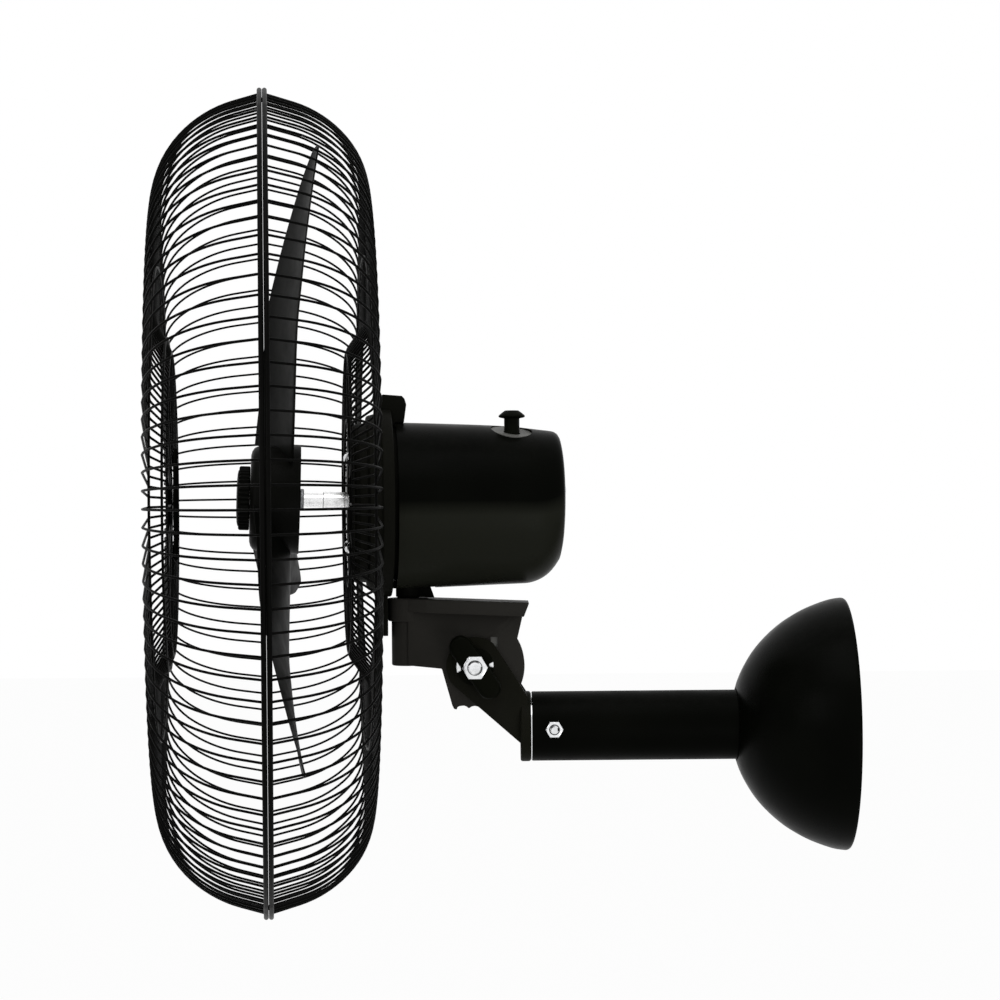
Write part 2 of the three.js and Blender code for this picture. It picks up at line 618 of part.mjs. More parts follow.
// ---- oscillation gearbox ----
const crankX = wormPlace - Math.sqrt((pinionRadius + crankRadius + 0.5) ** 2 - wormOffset ** 2);
const crankLow = -48.8;
const crankHigh = -45.6;
const linkTop = crankLow - 0.6;
const gearBack = 96.6;
const gearbox = () => {
  const wheelAt = [wormPlace, -wormOffset];
  const wheelRadius = wormOffset - wormRadius - 0.6;
  const casing = cut(
    fuse(
      block(gearFront, gearBack, -37, 25, -13, 13),
      block(crankX - 5.4, 90, -27, 9, crankHigh + 1, -12),
      ...screwSides.map((side) => bar("x", 4, gearBack - 1, postEnd, [side * screwSpread, screwHeight], 8)),
    ),
    bar("x", 8, gearFront - 8, 88, [0, wheelLevel], 12),
    bar("z", wheelRadius + 1, wheelLevel - 5, wheelLevel + 5, wheelAt, 14),
    bar("z", 3.4, -50, 20, wheelAt, 8),
    bar("z", 3.4, -50, -20, [crankX, 0], 8),
    bar("y", 9.5, -40, -30, [wormPlace, 0], 10),
    ...screwSides.map((side) => {
      const at = [side * screwSpread, screwHeight];
      return bar("x", 2 + gap, postEnd - 8, postEnd + 2, at, 6);
    }),
  );
  put(head, "gearbox_case", casing, nylon);

  const cog = (radius, teethCount, depth, from, to, at) => {
    const outline = [];
    for (let i = 0; i < teethCount * 2; i++) {
      const a = (i / teethCount) * Math.PI;
      const r = i % 2 ? radius - depth : radius;
      outline.push(new THREE.Vector2(at[0] + r * Math.cos(a), at[1] + r * Math.sin(a)));
    }
    const geometry = new THREE.ExtrudeGeometry(new THREE.Shape(outline), { depth: to - from, bevelEnabled: false });
    return solid(geometry.translate(0, 0, from));
  };
  const wheel = fuse(
    cog(wheelRadius, wheelTeeth, 1.2, wheelLevel - 3.6, wheelLevel + 3.6, wheelAt),
    bar("z", 3, crankLow, 27, wheelAt, 8),
    cog(pinionRadius, pinionTeeth, 0.9, crankLow, crankHigh, wheelAt),
  );
  put(head, "worm_wheel", wheel, nylon);

  // at rest the rod's eye hangs over the pin of the fixed arm
  const crankAngle = -Math.PI / 2 - Math.asin((linkThrow * Math.sin(restSwing)) / crankThrow);
  const pinAt = [crankX + crankThrow * Math.cos(crankAngle), crankThrow * Math.sin(crankAngle)];
  const crank = fuse(
    cog(crankRadius, crankTeeth, 1.2, crankLow, crankHigh, [crankX, 0]),
    bar("z", 3, crankHigh - 1, -24, [crankX, 0], 8),
    bar("z", 2, linkTop - 2.4, crankLow + 1, pinAt, 8),
  );
  put(head, "crank_gear", crank, nylon);

  // link rod from the crank pin to just above the fixed link pin
  const eyeAt = [pinAt[0] - crankX, pinAt[1] - (linkThrow - crankThrow)];
  const rise = Math.atan2(pinAt[1] - eyeAt[1], pinAt[0] - eyeAt[0]);
  const length = Math.hypot(pinAt[0] - eyeAt[0], pinAt[1] - eyeAt[1]);
  const eye = 4.4;
  const rod = new THREE.Shape();
  rod.absarc(0, 0, eye, Math.PI / 2, (3 * Math.PI) / 2, false);
  rod.absarc(length, 0, eye, -Math.PI / 2, Math.PI / 2, false);
  rod.closePath();
  for (const x of [0, length]) {
    const hole = new THREE.Path();
    hole.absarc(x, 0, 2.5 + gap, 0, 2 * Math.PI, true);
    rod.holes.push(hole);
  }
  const strip = new THREE.ExtrudeGeometry(rod, { depth: 1.8, bevelEnabled: false, curveSegments: 4 });
  strip.rotateZ(rise).translate(eyeAt[0], eyeAt[1], linkTop - 1.8);
  put(head, "link_rod", solid(strip), zinc);

  const knob = turned(
    "z",
    [
      [34, 0], [34, knobStemRadius], [61.4, knobStemRadius], [61.8, knobRadius - 0.6],
      [62.6, knobRadius], [65, knobRadius - 3], [66.8, 0],
    ],
    14,
  );
  put(head, "oscillation_knob", knob.translate([wormPlace, -wormOffset, 0]), blackPlastic);
};

// ---- guards: three-sided wires joined side to side by ring bars, one closed skin ----
// A station is [radius, height, size]; a station that starts a ring has true after its size.
const lattice = (stations, spokeStations) => {
  const wires = [];
  const position = [];
  const index = [];
  const quad = (a, b, c, d) => index.push(a, b, c, a, c, d);
  for (let j = 0; j < wireCount; j++) {
    const rows = j % spokeEvery === 0 ? [...stations, ...spokeStations] : stations;
    const angle = ((j + 0.5) / wireCount) * 2 * Math.PI;
    const wire = rows.map(([radius, height, size, ring], i) => {
      const before = rows[Math.max(0, i - 1)];
      const after = rows[Math.min(rows.length - 1, i + 1)];
      const along = i === 0 || (i === 1 && rows[0][3]) ? [0, -1] : [after[1] - before[1], after[0] - before[0]];
      const length = Math.hypot(...along);
      const out = [-along[1] / length, along[0] / length]; // [height, radius] away from the cage's inside
      const place = (turn, lift) => {
        const r = radius + out[1] * lift;
        const a = angle + turn / radius;
        position.push(height + out[0] * lift, r * Math.cos(a), r * Math.sin(a));
        return position.length / 3 - 1;
      };
      const wide = Math.min(size, wireSize) / 2;
      return { left: place(-wide, size / 2), right: place(wide, size / 2), keel: place(0, -size / 2), ring };
    });
    wires.push(wire);
  }
  wires.forEach((wire, j) => {
    const last = wire.length - 1;
    index.push(wire[0].left, wire[0].keel, wire[0].right);
    index.push(wire[last].left, wire[last].right, wire[last].keel);
    for (let i = 0; i < last; i++) {
      const [p, q] = [wire[i], wire[i + 1]];
      quad(p.left, p.right, q.right, q.left);
      if (p.ring) {
        let k = (j + 1) % wireCount;
        while (wires[k].length <= i + 1) k = (k + 1) % wireCount;
        const [s, t] = [wires[k][i], wires[k][i + 1]];
        quad(p.right, p.keel, s.keel, s.left);
        quad(q.right, p.right, s.left, t.left);
        quad(q.keel, q.right, t.left, t.keel);
        quad(p.keel, q.keel, t.keel, s.keel);
      } else {
        quad(p.right, p.keel, q.keel, q.right);
        quad(p.keel, p.left, q.left, q.keel);
      }
    }
  });
  const geometry = new THREE.BufferGeometry();
  geometry.setAttribute("position", new THREE.Float32BufferAttribute(position, 3));
  geometry.setIndex(index);
  return solid(geometry);
};

// the wire's path: straight off the rim, one large bend, flat annulus, step down to the floor
const cagePath = (depth, floor) => {
  const bend = (angle) => [
    bendStart[0] - bendRadius * (Math.cos(rimAngle) - Math.cos(angle)),
    bendStart[1] + bendRadius * (Math.sin(angle) - Math.sin(rimAngle)),
  ];
  const straight = (depth - rimWireOffset - bendRadius * (1 - Math.sin(rimAngle))) / Math.cos(rimAngle);
  const rimInside = guardRadius - rimWireSize - wireSize / 2;
  const bendStart = [rimInside - straight * Math.sin(rimAngle), rimWireOffset + straight * Math.cos(rimAngle)];
  const wire = (point, ring = false) => [...point, wireSize, ring];
  return [
    [guardRadius, rimWireOffset, rimWireSize, true],
    [guardRadius - rimWireSize, rimWireOffset, rimWireSize, false],
    wire(bend(37 * degree)),
    wire(bend(64 * degree)),
    wire([recessRadius, depth]),
    wire([floorRadius + 2, floor], true),
    wire([floorRadius, floor]),
  ];
};

const ringOfWire = (radius, place, size, segments) => {
  const profile = [0, 1, 2, 3].map((k) => {
    const a = (k * 2 * Math.PI) / 3;
    return [place + (size / 2) * Math.cos(a), radius + (size / 2) * Math.sin(a)];
  });
  return turned("x", profile, segments);
};

const guards = () => {
  const badgeRing = badgeRadius - 4;
  const toFront = { depth: frontDepth, floor: frontFloor, side: -1, spokes: badgeRing };
  const toRear = { depth: rearDepth, floor: rearFloor, side: 1, spokes: mountRingRadius };
  const cage = ({ depth, floor, side, spokes }) => {
    const centre = [[spokes + 2, floor, wireSize, true], [spokes, floor, wireSize, false]];
    const body = lattice(cagePath(depth, floor), centre);
    const facing = side > 0 ? body : body.mirror([1, 0, 0]);
    return facing.translate([rimPlace, 0, 0]);
  };
  put(head, "front_guard", cage(toFront), blackWire);
  put(head, "rear_guard", cage(toRear), blackWire);
  const under = wireSize / 2 + gap + wireSize / 2;
  const onAnnulus = ({ depth, floor }, radius) => {
    const [outer, inner] = cagePath(depth, floor).slice(3, 5);
    return inner[1] + ((outer[1] - inner[1]) * (radius - inner[0])) / (outer[0] - inner[0]);
  };
  const frontRingPlace = rimPlace - onAnnulus(toFront, frontRingRadius) + under;
  const frontRing = ringOfWire(frontRingRadius, frontRingPlace, wireSize, 36);
  put(head, "front_guard_ring", frontRing, blackWire);
  const rearRingPlace = rimPlace + onAnnulus(toRear, rearRingRadius) - under;
  const rearRing = ringOfWire(rearRingRadius, rearRingPlace, wireSize, 36);
  put(head, "rear_guard_ring", rearRing, blackWire);

  const frontFace = rimPlace - frontFloor - wireSize / 2 - gap;
  put(head, "badge_disc", fuse(
    bar("x", badgeRadius - 1, frontFace - badgeThickness, frontFace, [0, 0], 24, badgeRadius),
    bar("x", badgeRing - wireSize, frontFace - 1, frontFace + wireSize + 2 * gap, [0, 0], 16),
  ), blackPlastic);
  const retainerFace = frontFace + wireSize + 2 * gap + gap;
  put(head, "badge_retainer", bar("x", badgeRing + 3, retainerFace, retainerFace + 1.2, [0, 0], 16), zinc);

  const mountFace = rimPlace + rearFloor + wireSize / 2 + gap;
  const mount = cut(
    washer("x", mountRingRadius + 4, 34, mountFace, coverFront - gap, [0, 0], 20),
    ...guardScrewPlaces.map((at) => bar("x", 2.4, -50, -30, at, 6)),
  );
  put(head, "guard_mount_ring", mount, blackPaint);
  guardScrewPlaces.forEach((at, i) => {
    const screw = fuse(
      bar("x", 2, mountFace - 1, coverFront + 9, at, 6),
      bar("x", 4.4, mountFace - gap - 2.6, mountFace - gap, at, 8),
    );
    put(head, "guard_screw_" + (i + 1), screw, zinc);
  });

  // spring clips inside the two rim wires, as wide as the pair
  const clipHalf = rimWireOffset + rimWireSize / 2;
  const clipTop = (guardRadius - rimWireSize) * Math.cos(Math.PI / wireCount) - gap;
  for (let i = 0; i < 4; i++) {
    const clip = block(rimPlace - clipHalf, rimPlace + clipHalf, -5, 5, clipTop - 2, clipTop);
    put(head, "rim_clip_" + (i + 1), clip.rotate([90 * i, 0, 0]), blackPaint);
  }
};

// ---- propeller: hub, three raked blades with a narrow tip, ribbed spinner nut ----
// radius, chord, pitch in degrees, middle of the chord behind the rim plane
const bladeStations = [
  [34, 60, 27, 5],
  [78, 66, 21, 6.8],
  [131, 66, 18.5, 8.4],
  [165, 60, 16.5, 12.5],
  [198, 50, 14, 17.5],
  [230, 36, 11.5, 23.2],
  [250, 22, 9, 27.5],
  [bladeTip, 7, 8, 30],
];
const propeller = () => {
  // section: rounded leading edge, thin trailing edge, a little camber
  const section = [[0.5, 0], [0.4, 0.5], [-0.05, 0.6], [-0.5, 0.06], [-0.05, -0.12], [0.4, -0.32]];
  const blade = () => skin(bladeStations.map(([radius, chord, pitch, back]) => {
    const thick = 5.2 - 3.6 * (radius / bladeTip);
    const [c, s] = [Math.cos(pitch * degree), Math.sin(pitch * degree)];
    return section.map(([along, out]) => {
      const camber = 0.05 * chord * (1 - 4 * along * along);
      const lift = out * thick + camber;
      const tangent = along * chord * c - lift * s;
      return [rimPlace + back + along * chord * s + lift * c, -tangent, radius];
    });
  }));
  const hub = turned("x", [
    [hubFront, 0], [hubFront, hubRadius - 8], [hubFront + 4, hubRadius - 2], [hubBack, hubRadius],
    [hubBack, hubRadius - 4], [hubFront + 9, hubRadius - 7], [hubFront + 9, 13], [hubBack, 12], [hubBack, 0],
  ], 18);
  let body = hub;
  for (let i = 0; i < bladeCount; i++) {
    const turn = (firstBladeAngle / degree) + (360 / bladeCount) * i;
    const inner = bar("x", hubRadius - 6, -130, -60, [0, 0], 18);
    body = fuse(body, blade().rotate([turn, 0, 0]).subtract(inner));
  }
  const bore = bar("x", shaftRadius + gap, hubFront - 1, hubBack + 1, [0, 0], 12);
  put(motorAxis, "propeller", cut(body, bore), blackPlastic);

  const outline = [];
  for (let i = 0; i < spinnerRibs * 2; i++) {
    const a = (i / spinnerRibs) * Math.PI;
    const r = i % 2 ? spinnerRadius - 1.4 : spinnerRadius;
    outline.push(new THREE.Vector2(r * Math.cos(a), r * Math.sin(a)));
  }
  const edge = new THREE.Shape(outline);
  const ribbed = new THREE.ExtrudeGeometry(edge, { depth: spinnerThickness, bevelEnabled: false });
  ribbed.rotateY(Math.PI / 2).translate(hubFront - gap - spinnerThickness, 0, 0);
  const capFront = hubFront - gap - spinnerThickness - 1.6;
  const cap = bar("x", spinnerRadius - 7, capFront, hubFront - spinnerThickness, [0, 0], 16, spinnerRadius - 3);
  const nut = cut(
    fuse(solid(ribbed), cap),
    bar("x", shaftRadius + gap, hubFront - spinnerThickness + 2, hubFront + 1, [0, 0], 12),
  );
  put(motorAxis, "spinner_nut", nut, blackPlastic);
};

wallEnd();
yoke();
tiltClamp();
bracket();
head.position.set(swingX, 0, headZ);
head.rotation.z = restSwing;
motorAxis.rotation.y = motorPitch;
shellPieces();
frontCasting();
motor();
spin();
gearbox();
guards();
propeller();

export default part;
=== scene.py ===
import json
import math
import bpy
import bmesh
from mathutils import Matrix, Vector


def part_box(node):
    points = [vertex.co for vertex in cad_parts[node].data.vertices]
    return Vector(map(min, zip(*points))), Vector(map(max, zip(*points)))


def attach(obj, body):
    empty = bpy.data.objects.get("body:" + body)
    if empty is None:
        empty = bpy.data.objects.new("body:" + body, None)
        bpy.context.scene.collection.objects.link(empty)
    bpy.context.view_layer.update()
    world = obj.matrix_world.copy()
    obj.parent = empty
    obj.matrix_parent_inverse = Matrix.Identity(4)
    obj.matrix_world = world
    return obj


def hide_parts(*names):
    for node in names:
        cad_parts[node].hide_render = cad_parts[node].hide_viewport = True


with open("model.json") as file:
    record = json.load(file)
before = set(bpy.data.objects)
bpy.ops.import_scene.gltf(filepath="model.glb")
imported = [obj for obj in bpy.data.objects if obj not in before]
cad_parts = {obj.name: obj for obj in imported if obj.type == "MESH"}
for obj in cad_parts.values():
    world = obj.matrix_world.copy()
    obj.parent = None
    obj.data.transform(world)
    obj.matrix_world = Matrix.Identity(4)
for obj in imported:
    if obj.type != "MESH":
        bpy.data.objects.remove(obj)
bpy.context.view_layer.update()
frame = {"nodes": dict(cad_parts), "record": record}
print("frame loaded:", len(frame["nodes"]), "nodes")

# places, in millimetres from the middle of the wall plate's back
mm = 0.001
degree = math.pi / 180
layout = {
    "tubeEnd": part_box("support_tube")[0].x / mm,
    "tiltHeight": 45.5,  # tilt axis above the tube's middle
    "tiltReach": 40.5,  # tilt axis in front of the tube's end
    "swingReach": 48.9,  # swing axis in front of the tilt axis
    "headHeight": 165.0,  # motor axis above the tube's middle
    "headYaw": 5.43 * degree,
    "shaftPitch": 2 * degree,
    "rimPlace": -104.0,  # plane between the two rims, from the swing axis
}
tubeEnd = layout["tubeEnd"]
tiltX = tubeEnd - layout["tiltReach"]
swingX = tiltX - layout["swingReach"]
rimPlace = layout["rimPlace"]
atWall = Matrix.Identity(4)
atTilt = Matrix.Translation((tiltX, 0, layout["tiltHeight"]))
headTurn = Matrix.Rotation(layout["headYaw"], 4, "Z")
atHead = Matrix.Translation((swingX, 0, layout["headHeight"])) @ headTurn
atShaft = atHead @ Matrix.Rotation(layout["shaftPitch"], 4, "Y")


# short cuts for nodes
def feed(tree, inputs, wanted):  # each input gets a link from another socket, or a plain value
    for label, given in wanted.items():
        if isinstance(given, bpy.types.NodeSocket):
            tree.links.new(given, inputs[label])
        else:
            inputs[label].default_value = given


def newNode(tree, kind, wanted):
    node = tree.nodes.new(kind)
    feed(tree, node.inputs, wanted)
    return node


def calculated(tree, operation, first, second, clamp=False):
    node = newNode(tree, "ShaderNodeMath", {0: first, 1: second})
    node.operation = operation
    node.use_clamp = clamp
    return node.outputs[0]


def ranged(tree, value, low, high, toLow=0.0, toHigh=1.0):
    wanted = {"Value": value, "From Min": low, "From Max": high, "To Min": toLow, "To Max": toHigh}
    return newNode(tree, "ShaderNodeMapRange", wanted).outputs["Result"]


def mixed(tree, share, first, second):
    node = tree.nodes.new("ShaderNodeMix")
    node.data_type = "RGBA"
    a, b = [i for i, socket in enumerate(node.inputs) if socket.type == "RGBA"]
    feed(tree, node.inputs, {"Factor": share, a: first, b: second})
    return [socket for socket in node.outputs if socket.type == "RGBA"][0]


def noise(tree, spot, scale, detail, rough=0.5):
    wanted = {"Vector": spot, "Scale": scale, "Detail": detail, "Roughness": rough}
    return newNode(tree, "ShaderNodeTexNoise", wanted).outputs["Fac"]


def facingUp(tree):  # 1 on what faces up, -1 on what faces down
    normal = tree.nodes.new("ShaderNodeNewGeometry").outputs["Normal"]
    return newNode(tree, "ShaderNodeSeparateXYZ", {0: normal}).outputs["Z"]


def seenDirectly(tree):  # 1 where the camera, a mirror or glass looks at it, 0 where it only lights
    path = tree.nodes.new("ShaderNodeLightPath")
    total = path.outputs["Is Camera Ray"]
    for kind in ("Is Glossy Ray", "Is Transmission Ray"):
        total = calculated(tree, "ADD", total, path.outputs[kind], clamp=True)
    return total


def newMaterial(name):
    made = bpy.data.materials.new(name)
    made.use_nodes = True
    return made, made.node_tree, made.node_tree.nodes["Principled BSDF"]


# camera, floor and light
def linked(thing):
    bpy.context.scene.collection.objects.link(thing)
    return thing


def setCamera():
    view = {"place": (-0.2517, -1.8147, 0.1662), "roll": 0.5 * degree, "farEnd": 60,
            "focal": 2470, "picture": 1000, "sensor": 36}  # focal length and picture width in pixels
    data = bpy.data.cameras.new("photoCamera")
    data.sensor_width = view["sensor"]
    data.lens = view["focal"] * view["sensor"] / view["picture"]
    data.clip_end = view["farEnd"]
    camera = linked(bpy.data.objects.new("photoCamera", data))
    turn = Matrix.Rotation(view["roll"], 4, "Y") @ Matrix.Rotation(math.pi / 2, 4, "X")
    camera.matrix_world = Matrix.Translation(view["place"]) @ turn
    bpy.context.scene.camera = camera


def setFloor():
    ground = {"height": -0.95, "reach": 14, "color": (0.86, 0.86, 0.86, 1), "roughness": 0.9, "glow": 0.96}
    mesh = bpy.data.meshes.new("floor")
    reach = ground["reach"]
    sides = ((-reach, -reach), (reach, -reach), (reach, reach), (-reach, reach))
    mesh.from_pydata([(x, y, ground["height"]) for x, y in sides], [], [(0, 1, 2, 3)])
    floor = linked(bpy.data.objects.new("floor", mesh))
    pale, tree, shader = newMaterial("paleFloor")
    feed(tree, shader.inputs, {"Base Color": ground["color"], "Roughness": ground["roughness"]})
    glow = newNode(tree, "ShaderNodeEmission", {"Color": (1, 1, 1, 1)}).outputs[0]
    share = ranged(tree, seenDirectly(tree), 0.0, 1.0, 0.0, ground["glow"])
    mix = newNode(tree, "ShaderNodeMixShader", {0: share, 1: shader.outputs[0], 2: glow})
    tree.links.new(mix.outputs[0], tree.nodes["Material Output"].inputs["Surface"])
    mesh.materials.append(pale)


def setLight():
    studio = {"worldStrength": 0.5, "lampPower": 13}
    world = bpy.data.worlds.new("studio")
    world.use_nodes = True
    bpy.context.scene.world = world
    tree = world.node_tree
    level = ranged(tree, seenDirectly(tree), 0.0, 1.0, studio["worldStrength"], 1.0)
    feed(tree, tree.nodes["Background"].inputs, {"Color": (1, 1, 1, 1), "Strength": level})
    lamps = {
        "overhead": {"place": (-0.5, -0.9, 1.9), "aim": (-0.3, 0, 0.15), "size": 1.4, "power": 1.0},
        "frontLeft": {"place": (-2.1, -1.9, 0.9), "aim": (-0.35, 0, 0.15), "size": 1.2, "power": 0.8},
        "lowRight": {"place": (0.7, -1.7, -0.6), "aim": (-0.2, 0, 0.1), "size": 0.9, "power": 0.6},
    }
    for name, lamp in lamps.items():
        data = bpy.data.lights.new(name, "AREA")
        data.size = lamp["size"]
        data.energy = studio["lampPower"] * lamp["power"]
        aim = (Vector(lamp["aim"]) - Vector(lamp["place"])).to_track_quat("-Z", "Y")
        light = linked(bpy.data.objects.new(name, data))
        light.matrix_world = Matrix.Translation(lamp["place"]) @ aim.to_matrix().to_4x4()
    bpy.context.scene.view_settings.view_transform = "Standard"


setCamera()
setFloor()
setLight()
print("camera and studio set")


# shared finishes, as node groups
def newGroup(name, inputs, outputs):  # inputs give each socket its first value, a colour or a number
    group = bpy.data.node_groups.new(name, "ShaderNodeTree")
    for label, value in inputs.items():
        kind = "NodeSocketColor" if isinstance(value, tuple) else "NodeSocketFloat"
        group.interface.new_socket(name=label, in_out="INPUT", socket_type=kind).default_value = value
    for label in outputs:
        kind = "NodeSocketColor" if label == "Color" else "NodeSocketFloat"
        group.interface.new_socket(name=label, in_out="OUTPUT", socket_type=kind)
    given = group.nodes.new("NodeGroupInput").outputs
    result = group.nodes.new("NodeGroupOutput").inputs
    return group, given, result, group.nodes.new("ShaderNodeTexCoord").outputs["Object"]


# fine skin of sprayed or moulded surfaces: colour drift, gloss drift, and a height for the bump
def makeCoatGroup():
    group, given, result, spot = newGroup(
        "coatSkin",
        {"Color": (0.02, 0.02, 0.02, 1), "Light": (0.04, 0.04, 0.04, 1),
         "Gloss": 0.3, "Spread": 0.1, "Grain": 900.0},
        ("Color", "Roughness", "Height"),
    )
    drift = ranged(group, noise(group, spot, 14.0, 3), 0.35, 0.7)
    smear = noise(group, spot, 45.0, 5, 0.65)
    dullest = calculated(group, "ADD", given["Gloss"], given["Spread"])
    feed(group, result, {
        "Color": mixed(group, drift, given["Color"], given["Light"]),
        "Roughness": ranged(group, smear, 0.35, 0.75, given["Gloss"], dullest),
        "Height": noise(group, spot, given["Grain"], 2, 0.6),
    })
    return group


# dust that settles on what faces up
def makeDustGroup():
    group, given, result, spot = newGroup(
        "settledDust",
        {"Color": (0.02, 0.02, 0.02, 1), "Dust": (0.16, 0.15, 0.14, 1), "Roughness": 0.3, "Amount": 0.1},
        ("Color", "Roughness"),
    )
    upward = ranged(group, facingUp(group), 0.5, 1.0)
    patchy = ranged(group, noise(group, spot, 160.0, 4, 0.7), 0.4, 0.7, 0.2, 1.0)
    mask = calculated(group, "MULTIPLY", upward, patchy)
    mask = calculated(group, "MULTIPLY", mask, given["Amount"])
    feed(group, result, {
        "Color": mixed(group, mask, given["Color"], given["Dust"]),
        "Roughness": ranged(group, mask, 0.0, 1.0, given["Roughness"], 0.9),
    })
    return group


# turning marks and plating mottle on bright metal
def makePlateGroup():
    group, given, result, spot = newGroup(
        "platedMetal",
        {"Color": (0.8, 0.8, 0.8, 1), "Shade": (0.5, 0.5, 0.5, 1), "Gloss": 0.2, "Marks": 1400.0},
        ("Color", "Roughness", "Height"),
    )
    mottle = noise(group, spot, 260.0, 4, 0.6)
    wanted = {"Vector": spot, "Scale": (1, 0.12, 0.12)}  # the marks are close together along X only
    stretched = newNode(group, "ShaderNodeMapping", wanted).outputs["Vector"]
    shade = ranged(group, mottle, 0.35, 0.75)
    dullest = calculated(group, "ADD", given["Gloss"], 0.16)
    feed(group, result, {
        "Color": mixed(group, shade, given["Color"], given["Shade"]),
        "Roughness": ranged(group, mottle, 0.3, 0.8, given["Gloss"], dullest),
        "Height": noise(group, stretched, given["Marks"], 2, 0.6),
    })
    return group


coatGroup = makeCoatGroup()
dustGroup = makeDustGroup()
plateGroup = makePlateGroup()


def placed(tree, group, wanted):
    node = tree.nodes.new("ShaderNodeGroup")
    node.node_tree = group
    feed(tree, node.inputs, wanted)
    return node.outputs


def bumped(tree, height, strength, distance):
    wanted = {"Height": height, "Strength": strength, "Distance": distance}
    return newNode(tree, "ShaderNodeBump", wanted).outputs["Normal"]


def blackFinish(name, look):
    made, tree, shader = newMaterial(name)
    skin = placed(tree, coatGroup, {
        "Color": (*look["color"], 1), "Light": (*look["light"], 1),
        "Gloss": look["gloss"], "Spread": look["spread"], "Grain": look["grain"],
    })
    dust = placed(tree, dustGroup, {
        "Color": skin["Color"], "Roughness": skin["Roughness"], "Amount": look["dust"],
    })
    shown = dust["Color"]
    if "paintedUnderSheen" in look:  # painted sheen: what faces down gets a lighter colour in place of the light it reflects from below
        paintedSheenShare = ranged(tree, facingUp(tree), 0.06, -0.12)
        shown = mixed(tree, paintedSheenShare, shown, (*look["paintedUnderSheen"], 1))
    feed(tree, shader.inputs, {
        "Base Color": shown, "Roughness": dust["Roughness"], "Specular IOR Level": look["shine"],
        "Normal": bumped(tree, skin["Height"], look["bump"], 0.0002),
    })
    return made


def metalFinish(name, look):
    made, tree, shader = newMaterial(name)
    plate = placed(tree, plateGroup, {
        "Color": (*look["color"], 1), "Shade": (*look["shade"], 1),
        "Gloss": look["gloss"], "Marks": look["marks"],
    })
    feed(tree, shader.inputs, {
        "Base Color": plate["Color"], "Roughness": plate["Roughness"], "Metallic": 1,
        "Normal": bumped(tree, plate["Height"], look["bump"], 0.0001),
    })
    return made


blackLooks = {
    "satinEnamel": {"color": (0.0235, 0.0224, 0.0198), "light": (0.0315, 0.0298, 0.0265), "gloss": 0.4,
                    "spread": 0.16, "grain": 700.0, "dust": 0.02, "bump": 0.12, "shine": 0.02},
    "yokeEnamel": {"color": (0.0060, 0.0062, 0.0036), "light": (0.0105, 0.0103, 0.0078), "gloss": 0.42,
                   "spread": 0.16, "grain": 700.0, "dust": 0.02, "bump": 0.12, "shine": 0.02},
    "glossEnamel": {"color": (0.0012, 0.0014, 0.0009), "light": (0.0022, 0.0025, 0.0017), "gloss": 0.26,
                    "spread": 0.12, "grain": 260.0, "dust": 0.02, "bump": 0.08, "shine": 0.014},
    "dullMoulding": {"color": (0.0030, 0.0031, 0.0024), "light": (0.0050, 0.0051, 0.0040), "gloss": 0.7,
                     "spread": 0.2, "grain": 520.0, "dust": 0.0, "bump": 0.1, "shine": 0.0},
    "castingEnamel": {"color": (0.0035, 0.0036, 0.0026), "light": (0.0062, 0.0063, 0.0046), "gloss": 0.45,
                      "spread": 0.18, "grain": 480.0, "dust": 0.02, "bump": 0.35, "shine": 0.02},
    "deepEnamel": {"color": (0.0012, 0.0014, 0.0009), "light": (0.0024, 0.0026, 0.0018), "gloss": 0.34,
                   "spread": 0.14, "grain": 700.0, "dust": 0.02, "bump": 0.1, "shine": 0.014},
    "wireCoat": {"color": (0.0018, 0.0018, 0.0016), "light": (0.0036, 0.0036, 0.0032), "gloss": 0.34,
                 "spread": 0.15, "grain": 1200.0, "dust": 0.0, "bump": 0.1, "shine": 0.02},
    "bladeMoulding": {"color": (0.0018, 0.0019, 0.0015), "light": (0.0036, 0.0037, 0.0030), "gloss": 0.36,
                      "spread": 0.14, "grain": 520.0, "dust": 0.02, "bump": 0.12, "shine": 0.022},
    "gripMoulding": {"color": (0.0018, 0.0021, 0.0010), "light": (0.0034, 0.0038, 0.0020), "gloss": 0.42,
                     "spread": 0.16, "grain": 900.0, "dust": 0.02, "bump": 0.3, "shine": 0.02},
    # pale grey that paints light: the reflection on the knob seat, and the bright backdrop seen through the
    # bracket's window
    "paintedLightGrey": {"color": (0.11, 0.11, 0.102), "light": (0.13, 0.13, 0.121), "gloss": 0.4,
                 "spread": 0.12, "grain": 500.0, "dust": 0.05, "bump": 0.1, "shine": 0.1},
    "naturalNylon": {"color": (0.74, 0.71, 0.63), "light": (0.82, 0.79, 0.72), "gloss": 0.45,
                     "spread": 0.15, "grain": 600.0, "dust": 0.0, "bump": 0.2, "shine": 0.4},
}
# the shell's gloss enamel, with a painted sheen (lighter colour) on what faces down
blackLooks["shellEnamelPaintedSheen"] = {**blackLooks["glossEnamel"], "paintedUnderSheen": (0.0135, 0.0142, 0.0105)}
metalLooks = {
    "zincPlate": {"color": (0.86, 0.87, 0.88), "shade": (0.66, 0.67, 0.68),
                  "gloss": 0.16, "marks": 1500.0, "bump": 0.1},
    "groundSteel": {"color": (0.97, 0.97, 0.97), "shade": (0.9, 0.9, 0.9),
                    "gloss": 0.12, "marks": 2600.0, "bump": 0.12},
    "laminatedSteel": {"color": (0.36, 0.37, 0.38), "shade": (0.22, 0.22, 0.23),
                       "gloss": 0.42, "marks": 3200.0, "bump": 0.6},
    "varnishedCopper": {"color": (0.62, 0.29, 0.13), "shade": (0.38, 0.15, 0.06),
                        "gloss": 0.3, "marks": 1800.0, "bump": 0.7},
    "sinteredBronze": {"color": (0.5, 0.36, 0.18), "shade": (0.3, 0.2, 0.1),
                       "gloss": 0.45, "marks": 900.0, "bump": 0.3},
}
finishes = {name: blackFinish(name, look) for name, look in blackLooks.items()}
finishes.update({name: metalFinish(name, look) for name, look in metalLooks.items()})
